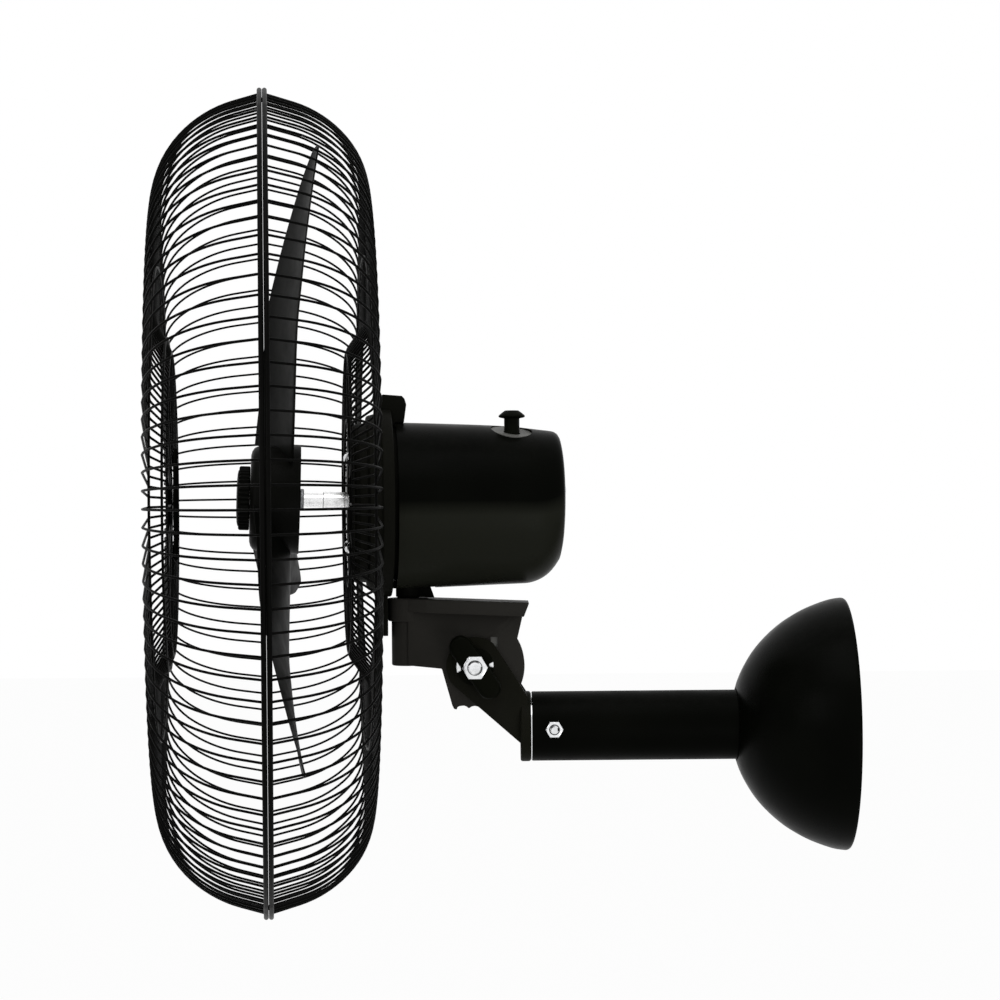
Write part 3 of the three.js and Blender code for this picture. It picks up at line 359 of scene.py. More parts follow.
finishOfSlot = {
    "black_enamel": "satinEnamel", "black_casting": "castingEnamel", "black_housing": "glossEnamel",
    "black_wire": "wireCoat", "black_blade": "bladeMoulding", "black_plastic": "gripMoulding",
    "zinc": "zincPlate", "bright_steel": "groundSteel", "core_steel": "laminatedSteel",
    "copper": "varnishedCopper", "bronze": "sinteredBronze", "nylon": "naturalNylon",
}
slotOfNode = {p["node"]: p["material_slot"] for p in frame["record"]["subparts"]}
print("finishes made:", len(finishes))


# shapes: each is (points, faces), in millimetres
def joined(*shapes):
    points, faces = [], []
    for shapePoints, shapeFaces in shapes:
        start = len(points)
        points += shapePoints
        faces += [tuple(i + start for i in face) for face in shapeFaces]
    return points, faces


def moved(shape, matrix):
    return [tuple(matrix @ Vector(p)) for p in shape[0]], shape[1]


def laidAlong(shape, axis, at):  # a shape made along X comes to lie along another axis, through at
    shift = {"x": (0, *at), "y": (at[0], 0, at[1]), "z": (*at, 0)}[axis]
    turn = {
        "x": Matrix.Identity(4),
        "y": Matrix(((0, -1, 0, 0), (1, 0, 0, 0), (0, 0, 1, 0), (0, 0, 0, 1))),
        "z": Matrix(((0, 0, -1, 0), (0, 1, 0, 0), (1, 0, 0, 0), (0, 0, 0, 1))),
    }[axis]
    return moved(shape, Matrix.Translation(shift) @ turn)


def rowFaces(rows, sides, closed=False):  # faces between rows of points, each row a closed loop
    faces = []
    for i in range(rows if closed else rows - 1):
        j = (i + 1) % rows
        for k in range(sides):
            m = (k + 1) % sides
            faces.append((i * sides + k, i * sides + m, j * sides + m, j * sides + k))
    return faces


def endFaces(rows, sides):
    return [tuple(range(sides)), tuple(range(rows * sides - 1, (rows - 1) * sides - 1, -1))]


def around(sides):
    return [2 * math.pi * k / sides for k in range(sides)]


def arc(centre, radius, start, end, steps):
    turns = [(start + (end - start) * i / steps) * degree for i in range(steps + 1)]
    return [(centre[0] + radius * math.cos(a), centre[1] + radius * math.sin(a)) for a in turns]


def rectangle(left, low, right, high):
    return [(left, low), (right, low), (right, high), (left, high)]


def lathe(profile, sides=64, axis="x", at=(0, 0), closed=True):  # profile of (place, radius)
    turns = around(sides)
    points = [(place, r * math.cos(a), r * math.sin(a)) for place, r in profile for a in turns]
    return laidAlong((points, rowFaces(len(profile), sides, closed)), axis, at)


def rod(radius, low, high, axis="x", at=(0, 0), sides=40, edge=0.5):
    profile = [(low, 0), (low, radius - edge), (low + edge, radius),
               (high - edge, radius), (high, radius - edge), (high, 0)]
    return lathe(profile, sides, axis, at, closed=False)


pinhole = 0.02  # bore of a disc that is closed in the middle


def ringDisc(radius, bore, low, high, axis="x", at=(0, 0), sides=64, edge=0.4):
    profile = [(low, bore), (low, radius - edge), (low + edge, radius),
               (high - edge, radius), (high, radius - edge), (high, bore)]
    return lathe(profile, sides, axis, at)


def slab(outline, low, high, axis="y"):  # outline of (x, z) for y, (x, y) for z, (y, z) for x
    put = {
        "x": lambda u, v, w: (w, u, v),
        "y": lambda u, v, w: (u, w, v),
        "z": lambda u, v, w: (u, v, w),
    }[axis]
    points = [put(u, v, w) for w in (low, high) for u, v in outline]
    return points, endFaces(2, len(outline)) + rowFaces(2, len(outline))


def skinned(rings):  # a closed skin over rings that follow each other
    rows, sides = len(rings), len(rings[0])
    return [p for ring in rings for p in ring], rowFaces(rows, sides) + endFaces(rows, sides)


def hexFace(flats, low, high, bore, outward, axis, at, turn=0):
    # nut or bolt head with chamfered corners on its outward side
    chamfer = {"least": 0.15, "start": 0.97, "slope": 0.6, "face": 0.95}
    sides, smallest = 48, 0.01
    face, back = (high, low) if outward > 0 else (low, high)
    apothem = flats / 2
    turns = [a + turn for a in around(sides)]
    corners = []  # distance from the axis to the hexagon's edge
    for a in turns:
        across = (a - turn + math.pi / 6) % (math.pi / 3) - math.pi / 6
        corners.append(apothem / math.cos(across))
    drops = [max(chamfer["least"], (r - apothem * chamfer["start"]) * chamfer["slope"]) for r in corners]
    rows = [
        [(back, r) for r in corners],
        [(face - outward * drop, r) for drop, r in zip(drops, corners)],
        [(face, apothem * chamfer["face"])] * sides,
        [(face, max(bore, smallest))] * sides,
        [(back, max(bore, smallest))] * sides,
    ]
    points = [(x, r * math.cos(a), r * math.sin(a)) for row in rows for (x, r), a in zip(row, turns)]
    return laidAlong((points, rowFaces(len(rows), sides, True)), axis, at)


def threaded(radius, low, high, pitch, axis, at, sides=32):
    thread = {"start": 0.5, "startDepth": 0.9, "depth": 0.55, "endDepth": 0.3}
    profile = [(low, 0), (low, radius - thread["startDepth"])]
    x = low + thread["start"]
    while x + pitch < high:
        profile += [(x, radius - thread["depth"]), (x + pitch * 0.5, radius)]
        x += pitch
    profile += [(high, radius - thread["endDepth"]), (high, 0)]
    return lathe(profile, sides, axis, at, closed=False)


def sweep(path, radius, sides=8):
    # round wire along points, with its frame carried from point to point
    spots = [Vector(p) for p in path]
    points, side = [], None
    for i, spot in enumerate(spots):
        along = (spots[min(i + 1, len(spots) - 1)] - spots[max(i - 1, 0)]).normalized()
        if side is None:
            side = along.orthogonal().normalized()
        side = (side - along * side.dot(along)).normalized()
        other = along.cross(side)
        for a in around(sides):
            points.append(tuple(spot + radius * (side * math.cos(a) + other * math.sin(a))))
    return points, rowFaces(len(spots), sides) + endFaces(len(spots), sides)


def hoop(radius, place, wire, steps=180, sides=10):  # wire ring round X
    points = []
    for a in around(steps):
        for b in around(sides):
            r = radius + wire * math.cos(b)
            points.append((place + wire * math.sin(b), r * math.cos(a), r * math.sin(a)))
    return points, rowFaces(steps, sides, True)


def curved(points, steps):  # smooth line through points
    spots = [Vector(p) for p in points]
    result = []
    for i in range(len(spots) - 1):
        p0, p1, p2 = spots[max(0, i - 1)], spots[i], spots[i + 1]
        p3 = spots[min(len(spots) - 1, i + 2)]
        for s in range(steps):
            t = s / steps
            point = 2 * p1 + (p2 - p0) * t + (2 * p0 - 5 * p1 + 4 * p2 - p3) * t * t
            result.append(tuple(0.5 * (point + (3 * p1 - p0 - 3 * p2 + p3) * t ** 3)))
    result.append(tuple(spots[-1]))
    return result


# a shape becomes a piece of the fan
weldDistance = 0.000002


def newMesh(name, shape, at, weld=True, prune=True):
    mesh = bpy.data.meshes.new(name)
    mesh.from_pydata([(at @ Vector(p)) * mm for p in shape[0]], [], shape[1])
    work = bmesh.new()
    work.from_mesh(mesh)
    if weld:
        bmesh.ops.remove_doubles(work, verts=work.verts, dist=weldDistance)
    if prune:
        bmesh.ops.dissolve_degenerate(work, edges=work.edges, dist=weldDistance / 2)
    bmesh.ops.recalc_face_normals(work, faces=work.faces)
    work.to_mesh(mesh)
    work.free()
    return mesh


def roundEdges(piece, width, segments, limit, harden):
    rounding = piece.modifiers.new("rounding", "BEVEL")
    rounding.width = width * mm
    rounding.segments = segments
    rounding.limit_method = "ANGLE"
    rounding.angle_limit = limit * degree
    rounding.harden_normals = harden


def buildPiece(name, shape, at, body, replaced=(), finish=None, slot=None, bevel=0.0, sharp=35, clean=True):
    mesh = newMesh(name, shape, at, weld=clean, prune=clean)
    mesh.shade_smooth()
    mesh.set_sharp_from_angle(angle=sharp * degree)
    piece = linked(bpy.data.objects.new(name, mesh))
    if slot is None:
        slot = slotOfNode[replaced[0]]
    mesh.materials.append(finishes[finish or finishOfSlot[slot]])
    if bevel:
        roundEdges(piece, bevel, 3, 32, True)
    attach(piece, body)
    if replaced:
        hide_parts(*replaced)
    return piece


def carve(piece, shape, at):  # cuts a shape out of a piece
    cutter = linked(bpy.data.objects.new("cutter", newMesh("cutter", shape, at, prune=False)))
    cut = piece.modifiers.new("cut", "BOOLEAN")
    cut.operation = "DIFFERENCE"
    cut.solver = "EXACT"
    cut.object = cutter
    bpy.context.view_layer.update()
    shown = piece.evaluated_get(bpy.context.evaluated_depsgraph_get())
    result = bpy.data.meshes.new_from_object(shown)
    piece.modifiers.remove(cut)
    piece.data = result
    bpy.data.objects.remove(cutter)
    result.shade_smooth()
    result.set_sharp_from_angle(angle=32 * degree)


def fourRound(radius):  # four places on a circle, at 45 degrees and every quarter turn from there
    turns = [(45 + 90 * k) * degree for k in range(4)]
    return [(radius * math.cos(a), radius * math.sin(a)) for a in turns]


# wall end
def makeCanopy():
    canopy = {
        "outline": [(0, 91.6), (-1.2, 92.2), (-3.3, 92.2), (-9.2, 91.3), (-15.1, 89.6), (-20.9, 87.5),
                    (-26.8, 85.1), (-32.7, 82.2), (-38.6, 78.8), (-44.5, 75.0), (-50.3, 70.5), (-56.2, 65.2),
                    (-62.1, 59.0), (-68, 51.4), (-73.8, 41.7), (-77.4, 34.0), (-79.4, 28.2), (-79.7, 27.0)],
        "wall": 2.0, "bore": 25.9, "nose": -60,  # in front of the nose the bell closes in on the tube
    }
    line = curved(canopy["outline"], 5)
    inner = []
    for x, r in reversed(line):
        back = (0.7 if x < canopy["nose"] else 0.0) * canopy["wall"]
        inner.append((min(x + back, 0), max(r - canopy["wall"], canopy["bore"])))
    buildPiece("canopyBell", lathe(line + inner, 128), atWall, "wall_arm", ["canopy_bell"], sharp=30)

    plate = {"radius": 60, "thickness": 4, "hole": 3.2, "holeCircle": 46}
    shape = ringDisc(plate["radius"], pinhole, -plate["thickness"], 0, edge=0.6)
    disc = buildPiece("wallPlate", shape, atWall, "wall_arm", ["wall_plate"])
    for spot in fourRound(plate["holeCircle"]):
        carve(disc, rod(plate["hole"], -8, 4, "x", spot, 24), atWall)


def makeTube():
    tube = {"radius": 25.4, "wall": 2.0, "length": 226, "start": 0.5}
    cross = {"place": 16.5, "clearance": 4.3, "face": 25.7, "flats": 11, "nutHeight": 6.5, "headHeight": 5.3,
             "bolt": 3.2, "hole": 3.9, "tip": -34.4, "thread": -24, "shank": (-26, 26), "pitch": 1.25}
    at = (tubeEnd + cross["place"], 0)
    shape = ringDisc(tube["radius"], tube["radius"] - tube["wall"],
                     tubeEnd + tube["start"], tubeEnd + tube["length"], edge=0.5, sides=96)
    support = buildPiece("supportTube", shape, atWall, "wall_arm", ["support_tube"], finish="deepEnamel")
    carve(support, rod(cross["clearance"], -30, 30, "y", at, 24), atWall)

    liner = {"radius": 24.6, "bore": 23.1, "proud": 0.3, "depth": 4}  # bright metal seen at the tube's end
    shape = ringDisc(liner["radius"], liner["bore"], tubeEnd - liner["proud"], tubeEnd + liner["depth"],
                     edge=0.2, sides=96)
    buildPiece("tubeLiner", shape, atWall, "wall_arm", (), slot="zinc")

    face, flats = cross["face"], cross["flats"]
    nut = hexFace(flats, -face - cross["nutHeight"], -face, cross["hole"], -1, "y", at, math.pi / 6)
    buildPiece("tubeNut", nut, atWall, "wall_arm", ["tube_nut"], sharp=25)
    bolt = joined(
        threaded(cross["bolt"] - 0.1, cross["tip"], cross["thread"], cross["pitch"], "y", at),
        rod(cross["bolt"] - 0.3, *cross["shank"], "y", at, 24),
        hexFace(flats, face, face + cross["headHeight"], 0, 1, "y", at),
    )
    buildPiece("tubeBolt", bolt, atWall, "wall_arm", ["tube_bolt"], sharp=25)


# yoke and tilt clamp
def makeYoke():
    yoke = {"gap": 0.3, "capThickness": 7.6, "capRadius": 25.7, "cheekInside": 14.7, "cheekOutside": 20.1,
            "cheekRadius": 21, "cheekFront": 2, "cheekBack": 5.5, "cheekFoot": -12.5, "cheekShoulder": 23,
            "spigotRadius": 23.0, "spigotBore": 15, "spigotStart": 1.3, "spigotEnd": 45}
    capBack = tubeEnd - yoke["gap"]
    capFront = capBack - yoke["capThickness"]
    cap = ringDisc(yoke["capRadius"], pinhole, capFront, capBack, edge=1.0)
    spigot = ringDisc(yoke["spigotRadius"], yoke["spigotBore"],
                      tubeEnd - yoke["spigotStart"], tubeEnd + yoke["spigotEnd"], edge=0.6)
    front, back = capFront + yoke["cheekFront"], capFront + yoke["cheekBack"]
    outline = [(front, yoke["cheekFoot"])]
    outline += arc((tiltX, layout["tiltHeight"]), yoke["cheekRadius"], -140, -310, 30)
    outline += [(back, yoke["cheekShoulder"]), (back, yoke["cheekFoot"])]
    inside, outside = yoke["cheekInside"], yoke["cheekOutside"]
    cheeks = [slab(outline, -outside, -inside), slab(outline, inside, outside)]
    buildPiece("tiltYoke", joined(cap, spigot, *cheeks), atWall, "wall_arm", ["tilt_yoke"],
               finish="yokeEnamel", bevel=0.9)


def makeTiltClamp():
    clamp = {"bolt": 5, "tip": -40.2, "thread": -30, "shank": (-31, 20.6), "pitch": 1.5, "flats": 16, "hole": 5.5,
             "nut": (-38.1, -30.0), "head": (20.4, 26.8), "washer": 13.6, "washerPlace": (-22.4, -20.4)}
    at = (tiltX, layout["tiltHeight"])
    flats, corner = clamp["flats"], math.pi / 6  # the nut stands on a corner
    bolt = joined(
        threaded(clamp["bolt"], clamp["tip"], clamp["thread"], clamp["pitch"], "y", at),
        rod(clamp["bolt"] - 0.2, *clamp["shank"], "y", at, 32),
        hexFace(flats, *clamp["head"], 0, 1, "y", at),
    )
    buildPiece("tiltBolt", bolt, atWall, "wall_arm", ["tilt_bolt"], sharp=25)
    washer = ringDisc(clamp["washer"], clamp["bolt"] + 0.3, *clamp["washerPlace"], "y", at, 64, 0.3)
    buildPiece("tiltWasher", washer, atWall, "wall_arm", ["tilt_washer"])
    nut = hexFace(flats, *clamp["nut"], clamp["hole"], -1, "y", at, corner)
    buildPiece("tiltNut", nut, atWall, "tilt_lever", ["tilt_nut"], sharp=25)

    # two-ended grip: a capsule with a crowned face, a round boss behind it and a pocket for the nut
    grip = {"length": 52.5, "width": 16.8, "lean": 55 * degree, "pocketPlay": 0.6, "pocketFloor": -29.7,
            "crown": ((-24.3, 1.7), (-24.7, 0.8), (-25.6, 0.1), (-27.5, 0.0), (-33.0, 0.0),
                      (-35.4, 0.25), (-36.6, 1.0), (-37.3, 2.1), (-37.5, 3.4)),  # depth, inset
            "boss": 13.7, "bossFlat": 10.4, "bossPlace": (-26.7, -22.7)}
    half = (grip["length"] - grip["width"]) / 2
    c, s = math.cos(grip["lean"]), -math.sin(grip["lean"])
    rings = []
    for y, inset in grip["crown"]:
        w = grip["width"] / 2 - inset
        outline = arc((half, 0), w, -90, 90, 16) + arc((-half, 0), w, 90, 270, 16)
        rings.append([(at[0] + u * c - v * s, y, at[1] + u * s + v * c) for u, v in outline])
    # the boss hides the washer, and has a step at the left and the right
    collar = []
    for k in range(96):
        a = 3.75 * k
        reach = grip["bossFlat"] if abs(a - 180) < 16 or a < 15 else grip["boss"]
        collar.append((at[0] + reach * math.cos(a * degree), at[1] + reach * math.sin(a * degree)))
    shape = joined(skinned(rings), slab(collar, *grip["bossPlace"]))
    lever = buildPiece("tiltLever", shape, atWall, "tilt_lever", ["tilt_lever"])
    pocket = hexFace(flats + grip["pocketPlay"], -45, grip["pocketFloor"], 0, 1, "y", at, corner)
    carve(lever, pocket, atWall)


# pivot bracket
def makeBracket():
    bracket = {
        "tail": 39.6, "tailLip": 3.9, "flangeWidth": 50, "flangeTop": 49.5, "boss": 15, "bossHeight": 17.0,
        "sleeve": 12.4, "step": 14, "shoulder": 48.9, "fall": 0.042,
        "underside": 38.9, "undersideFrom": -27.6, "undersideFall": 0.048,
        "web": 28.8, "webFoot": 0.6, "webTail": [(34.6, 35.2), (30, 39)], "webTop": 42,
        "knuckle": 36, "knuckleTurn": (-50, 31.5), "detent": 31.5, "tips": (261, 276.8, 292.6),
        "bite": ((0, 0), (1.6, 0.9), (4.2, 1.9), (7.9, 2.3), (11.6, 1.9), (14.2, 0.9)),  # degrees, depth
        "biteDeepest": 2.3, "biteDepth": 2.2,
        "corner": [(-24.4, -2), (-17, -28.7), (-15.8, -31.2), (-13.8, -31.9), (-13.2, -30), (-11.4, -29.3),
                   (-8.4, -29), (-6.4, -29.8)],
        "window": rectangle(11.4, 13.8, 16.4, 21), "windowDepth": 3, "windowLightPlate": (1.5, 2.2),
    }
    axisX = -layout["swingReach"]
    axis = (axisX, 0)
    top, tail = bracket["flangeTop"], bracket["tail"]
    teeth = []
    for tip in bracket["tips"]:  # rounded bites between narrow tips
        for turn, depth in bracket["bite"]:
            reach = bracket["detent"] - depth * bracket["biteDepth"] / bracket["biteDeepest"]
            a = (tip + turn) * degree
            teeth.append((reach * math.cos(a), reach * math.sin(a)))
    lobe = arc((0, 0), bracket["knuckle"], *bracket["knuckleTurn"], 24)
    web = [(axisX, bracket["webFoot"])] + bracket["corner"] + teeth + lobe
    web += bracket["webTail"] + [(axisX, bracket["webTop"])]
    half = bracket["web"] / 2
    # flange: its plan is round at the boss, its underside steps up towards the tail
    w, step = bracket["flangeWidth"] / 2, axisX + bracket["step"]
    plan = arc(axis, bracket["boss"] - 0.05, 90, 270, 24) + [(step, -w), (tail, -w), (tail, w), (step, w)]
    upper, lower = [], []
    for x, y in plan:
        fallen = bracket["shoulder"] - bracket["fall"] * (x - step)
        upper.append((x, y, top if x < step - 1 else fallen))
        under = min(x, tail - bracket["tailLip"])
        drop = bracket["undersideFall"] * (under - bracket["undersideFrom"])
        lower.append((under, y, bracket["underside"] - drop))
    low = top - bracket["bossHeight"]
    shape = joined(
        slab(web, -half, half),
        skinned([lower, upper]),
        rod(bracket["boss"], low, top, "z", axis, 64, 0.8),
        rod(bracket["sleeve"], 0, low + 1, "z", axis, 64, 0.8),
    )
    piece = buildPiece("pivotBracket", shape, atTilt, "tilt_bracket", ["pivot_bracket"], bevel=0.8)
    carve(piece, slab(bracket["window"], -half - 1, half - bracket["windowDepth"]), atTilt)
    # a pale plate set in the window paints the bright backdrop that shows through the hole
    windowLightPlate = slab(bracket["window"], *[depth - half for depth in bracket["windowLightPlate"]])
    buildPiece("windowLightStandIn", windowLightPlate, atTilt, "tilt_bracket", (), finish="paintedLightGrey", slot="black_enamel")

    pivot = {"flats": 15.6, "head": (0.6, 6.3), "radius": 5.6, "shank": (6, 67.7)}
    bolt = joined(
        hexFace(pivot["flats"], *pivot["head"], 0, -1, "z", axis),
        rod(pivot["radius"], *pivot["shank"], "z", axis, 32),
    )
    buildPiece("pivotBolt", bolt, atTilt, "tilt_bracket", ["pivot_bolt"], sharp=25)
    thrust = {"radius": 8.2, "bore": 5.9, "place": (49.55, 50.25)}
    shape = ringDisc(thrust["radius"], thrust["bore"], *thrust["place"], "z", axis, 48, 0.2)
    buildPiece("thrustWasher", shape, atTilt, "tilt_bracket", ["thrust_washer"], finish="gripMoulding")


# motor shell, with the seat and the hole for the knob
knob = {"place": (75.5, -20), "radius": 9.7, "stem": 5.6, "play": 0.5, "low": 34}
shell = {
    "front": -9.3, "back": 113.3, "wall": 2,
    "bend": 84.3, "corner": 29, "cornerFlat": 0.995, "cornerEnd": 110,
    "topLine": [(-12, 58.9), (20, 57.9), (45, 57.0), (61, 56.3), (72, 55.6), (84, 54.5), (98.5, 52.7),
                (105, 52.0), (108, 51.3), (110, 50.0), (111.3, 48.0), (112.1, 44.5), (112.7, 36),
                (113.1, 22), (113.3, 6)],
    "bottomFront": (-12, -63.7), "bottomBend": -60.4,
    "bottomBack": [(110.6, -44), (111.8, -39), (112.4, -34), (112.8, -27), (113.1, -17), (113.3, -3)],
    "backStations": [110.6, 111.3, 111.8, 112.1, 112.4, 112.7, 112.9, 113.1, 113.3],
    "notchBack": 20.1, "notchLow": -70, "notchHigh": -50, "notchHalf": 10.1,  # room for the neck
}


def underside():  # runs straight, then round a large corner, and ends in the domed back
    bend, level, corner = shell["bend"], shell["bottomBend"], shell["corner"]
    line = [shell["bottomFront"], (bend, level)]
    for i in range(1, 15):
        turn = i / 20 * math.pi / 2
        reach = corner * math.sin(turn) * shell["cornerFlat"]
        line.append((bend + reach, level + corner * (1 - math.cos(turn))))
    return [p for p in line if p[0] < shell["cornerEnd"]] + shell["bottomBack"]


def heightAt(line, x):
    for (x0, z0), (x1, z1) in zip(line, line[1:]):
        if x <= x1:
            return z0 + (z1 - z0) * (x - x0) / (x1 - x0)
    return line[-1][1]


def shellRing(x, bottomLine, inset, sides):
    reach = min(shell["back"], x + inset)
    top = heightAt(shell["topLine"], reach) - inset
    bottom = heightAt(bottomLine, reach) + inset
    middle, radius = (top + bottom) / 2, (top - bottom) / 2
    return [(x, radius * math.cos(a), middle + radius * math.sin(a)) for a in around(sides)]


def makeShell():
    front, back, wall, bend = shell["front"], shell["back"], shell["wall"], shell["bend"]
    low = underside()
    stations = [front + (bend - front) * i / 12 for i in range(13)]
    stations += [bend + (shell["cornerEnd"] - bend) * i / 12 for i in range(1, 13)] + shell["backStations"]
    outside = skinned([shellRing(x, low, 0, 120) for x in stations])
    body = buildPiece("motorShell", outside, atHead, "head", ["motor_shell"], finish="shellEnamelPaintedSheen", sharp=40)
    insides = sorted({front - 1, *[min(x, back - wall) for x in stations[2:]]})
    carve(body, skinned([shellRing(x, low, wall, 96) for x in insides]), atHead)

    # flat pressed seat under the knob, with a hole for the knob's stem
    seat = {"place": (75.5, -16, 51.0), "lean": 14 * degree, "fall": 6.5 * degree, "radius": 15.3,
            "disc": (-2.2, 0.35), "cut": (-0.3, 24)}
    atSeat = atHead @ Matrix.Translation(seat["place"]) @ Matrix.Rotation(seat["fall"], 4, "Y")
    atSeat = atSeat @ Matrix.Rotation(seat["lean"], 4, "X")
    carve(body, rod(seat["radius"], *seat["cut"], "z", (0, 0), 64, 0.2), atSeat)
    notch = rectangle(front - 1, shell["notchLow"], shell["notchBack"], shell["notchHigh"])
    carve(body, slab(notch, -shell["notchHalf"], shell["notchHalf"]), atHead)
    roundEdges(body, 0.5, 2, 40, False)
    # the seat's pale grey colour is a painted reflection of the bright surroundings at its grazing angle
    pressed = rod(seat["radius"] + 0.1, *seat["disc"], "z", (0, 0), 96, 0.3)
    disc = buildPiece("knobSeat", pressed, atSeat, "head", (),
                      finish="paintedLightGrey", slot="black_housing", sharp=50)
    carve(disc, rod(knob["stem"] + knob["play"], 20, 80, "z", knob["place"], 48), atHead)


def makeShellScrews():
    screw = {"radius": 2, "ends": (103.7, 114.4), "spread": 20, "height": 8, "turn": 20,
             "head": [(113.6, 4.2), (113.9, 4.3), (114.5, 3.6), (114.9, 1.9), (114.9, 0)],
             "slot": rectangle(-3, -0.45, 3, 0.45), "slotEnds": (114.3, 116)}
    for side, word in ((1, "Far"), (-1, "Near")):
        spot = (side * screw["spread"], screw["height"])
        shape = joined(rod(screw["radius"], *screw["ends"], "x", spot, 20),
                       lathe(screw["head"], 32, "x", spot, closed=False))
        piece = buildPiece("shellScrew" + word, shape, atHead, "head", ["shell_screw_" + word.lower()])
        for turn in (0, 90):
            across = Matrix.Translation((0, *spot)) @ Matrix.Rotation((turn + screw["turn"]) * degree, 4, "X")
            carve(piece, slab(screw["slot"], *screw["slotEnds"], "x"), atHead @ across)


# front casting with its ear, neck and tongue
def makeCasting():
    casting = {
        "cover": [(-40.4, 12.4), (-40.4, 56.2), (-39.6, 57.1), (-37.2, 57.5), (-36.8, 57.9), (-31.2, 58.4),
                  (-30.6, 58.9), (-30.1, 62.8), (-29.4, 63.7), (-22.2, 65.6), (-21.3, 66.2), (-20.9, 68.3),
                  (-20.2, 69), (-13.4, 69), (-12.6, 68.4), (-12.6, 55.4), (-6, 55.2), (-6, 53.2),
                  (-34, 50), (-34, 20), (-9.6, 16), (-9.6, 12.4)],
        "ear": [(-19.5, 54.6), (-19.5, 77.4), (-18.2, 78.9), (-4.2, 77.8), (-2.2, 75.6), (-1.0, 71.4),
                (-2.8, 58.4), (-9.6, 58.4), (-9.6, 54.6), (-14, 54.6)],
        "gusset": [(3, -69.2), (15.6, -69.8), (19.0, -69.8), (16.2, -61.8), (3, -61.8)],
        "bridge": rectangle(-14.6, -62.8, -2, -57.4),
        "earHalf": 13, "gussetHalf": 4, "bridgeHalf": 8.7,
        "neckRadius": 9.1, "neckBottom": -69.2, "neckTop": -56.2,
        "tongue": (-18.8, -15.5), "tongueLow": -97.5, "tongueTop": -60, "tongueHalf": 12, "tongueCorner": 4,
        "armRoom": 17, "armRoomTop": -46, "boltRoom": 5.9, "boltRoomEnds": (-75, -50),
    }
    side, corner, top = casting["tongueHalf"], casting["tongueCorner"], casting["tongueTop"]
    low = casting["tongueLow"] + corner
    tongue = [(-side, top)] + arc((-side + corner, low), corner, 180, 270, 6)
    tongue += arc((side - corner, low), corner, 270, 360, 6) + [(side, top)]
    shape = joined(
        lathe(casting["cover"], 128),
        slab(casting["ear"], -casting["earHalf"], casting["earHalf"]),
        slab(tongue, *casting["tongue"], "x"),
        rod(casting["neckRadius"], casting["neckBottom"], casting["neckTop"], "z", (0, 0), 64, 0.4),
        slab(casting["gusset"], -casting["gussetHalf"], casting["gussetHalf"]),
        slab(casting["bridge"], -casting["bridgeHalf"], casting["bridgeHalf"]),
    )
    housing = buildPiece("frontCasting", shape, atHead, "head", ["motor_front_casting"], bevel=0.6)
    # room for the link arm, and a bore for the pivot bolt
    armRoom = rod(casting["armRoom"], casting["neckTop"], casting["armRoomTop"], "z", (0, 0), 64, 0.1)
    carve(housing, armRoom, atHead)
    carve(housing, rod(casting["boltRoom"], *casting["boltRoomEnds"], "z", (0, 0), 48, 0.1), atHead)

    mount = {"radius": 66, "bore": 34, "place": (-42.75, -40.7), "screwCircle": 46, "screw": 2,
             "screwEnds": (-43.7, -31.4),
             "head": [(-43.05, 4.3), (-43.4, 4.4), (-44.8, 3.6), (-45.6, 2.0), (-45.65, 0)]}
    ring = ringDisc(mount["radius"], mount["bore"], *mount["place"], edge=0.5, sides=96)
    buildPiece("guardMountRing", ring, atHead, "head", ["guard_mount_ring"])
    for k, at in enumerate(fourRound(mount["screwCircle"])):
        screw = joined(rod(mount["screw"], *mount["screwEnds"], "x", at, 20),
                       lathe(mount["head"], 32, "x", at, closed=False))
        buildPiece("guardScrew" + str(k + 1), screw, atHead, "head", ["guard_screw_" + str(k + 1)])


# shaft, knob and what shows of the drive
def makeDrive():
    drive = {
        "shaft": [(-120, 0), (-120, 4.4), (-119.4, 5), (83.4, 5), (84, 4.4), (84, 0)],
        "collar": [(-78.7, 5.3), (-78.7, 7.4), (-78.2, 7.9), (-76.5, 7.9), (-76, 7.4), (-76, 5.3)],
        "sleeve": [(-62, 5.2), (-62, 5.9), (-61.6, 6.25), (-46.4, 6.25), (-46, 5.9), (-46, 5.2)],
    }
    buildPiece("motorShaft", lathe(drive["shaft"], 48, closed=False), atShaft, "rotor", ["motor_shaft"])
    collar = lathe(drive["collar"], 48)
    buildPiece("shaftCollar", collar, atShaft, "rotor", ["shaft_collar"], finish="laminatedSteel")
    buildPiece("shaftSleeve", lathe(drive["sleeve"], 48), atShaft, "rotor", (), slot="bright_steel")

    r, low = knob["radius"], knob["low"]
    profile = [(low, 0), (low, knob["stem"]), (60.6, knob["stem"]), (61.2, r - 1.1), (61.6, r - 0.3),
               (62.3, r), (63.0, r - 0.4), (64.6, r - 2.3), (65.9, r - 4.0), (66.4, r - 4.8), (66.45, 0)]
    shape = lathe(profile, 64, "z", knob["place"], closed=False)
    buildPiece("oscillationKnob", shape, atHead, "oscillation_knob", ["oscillation_knob"])


# propeller and spinner nut
def foil(t):  # half thickness of a blade's section at a share t of its chord
    return 2.97 * math.sqrt(t) - 1.26 * t - 3.516 * t ** 2 + 2.843 * t ** 3 - 1.015 * t ** 4


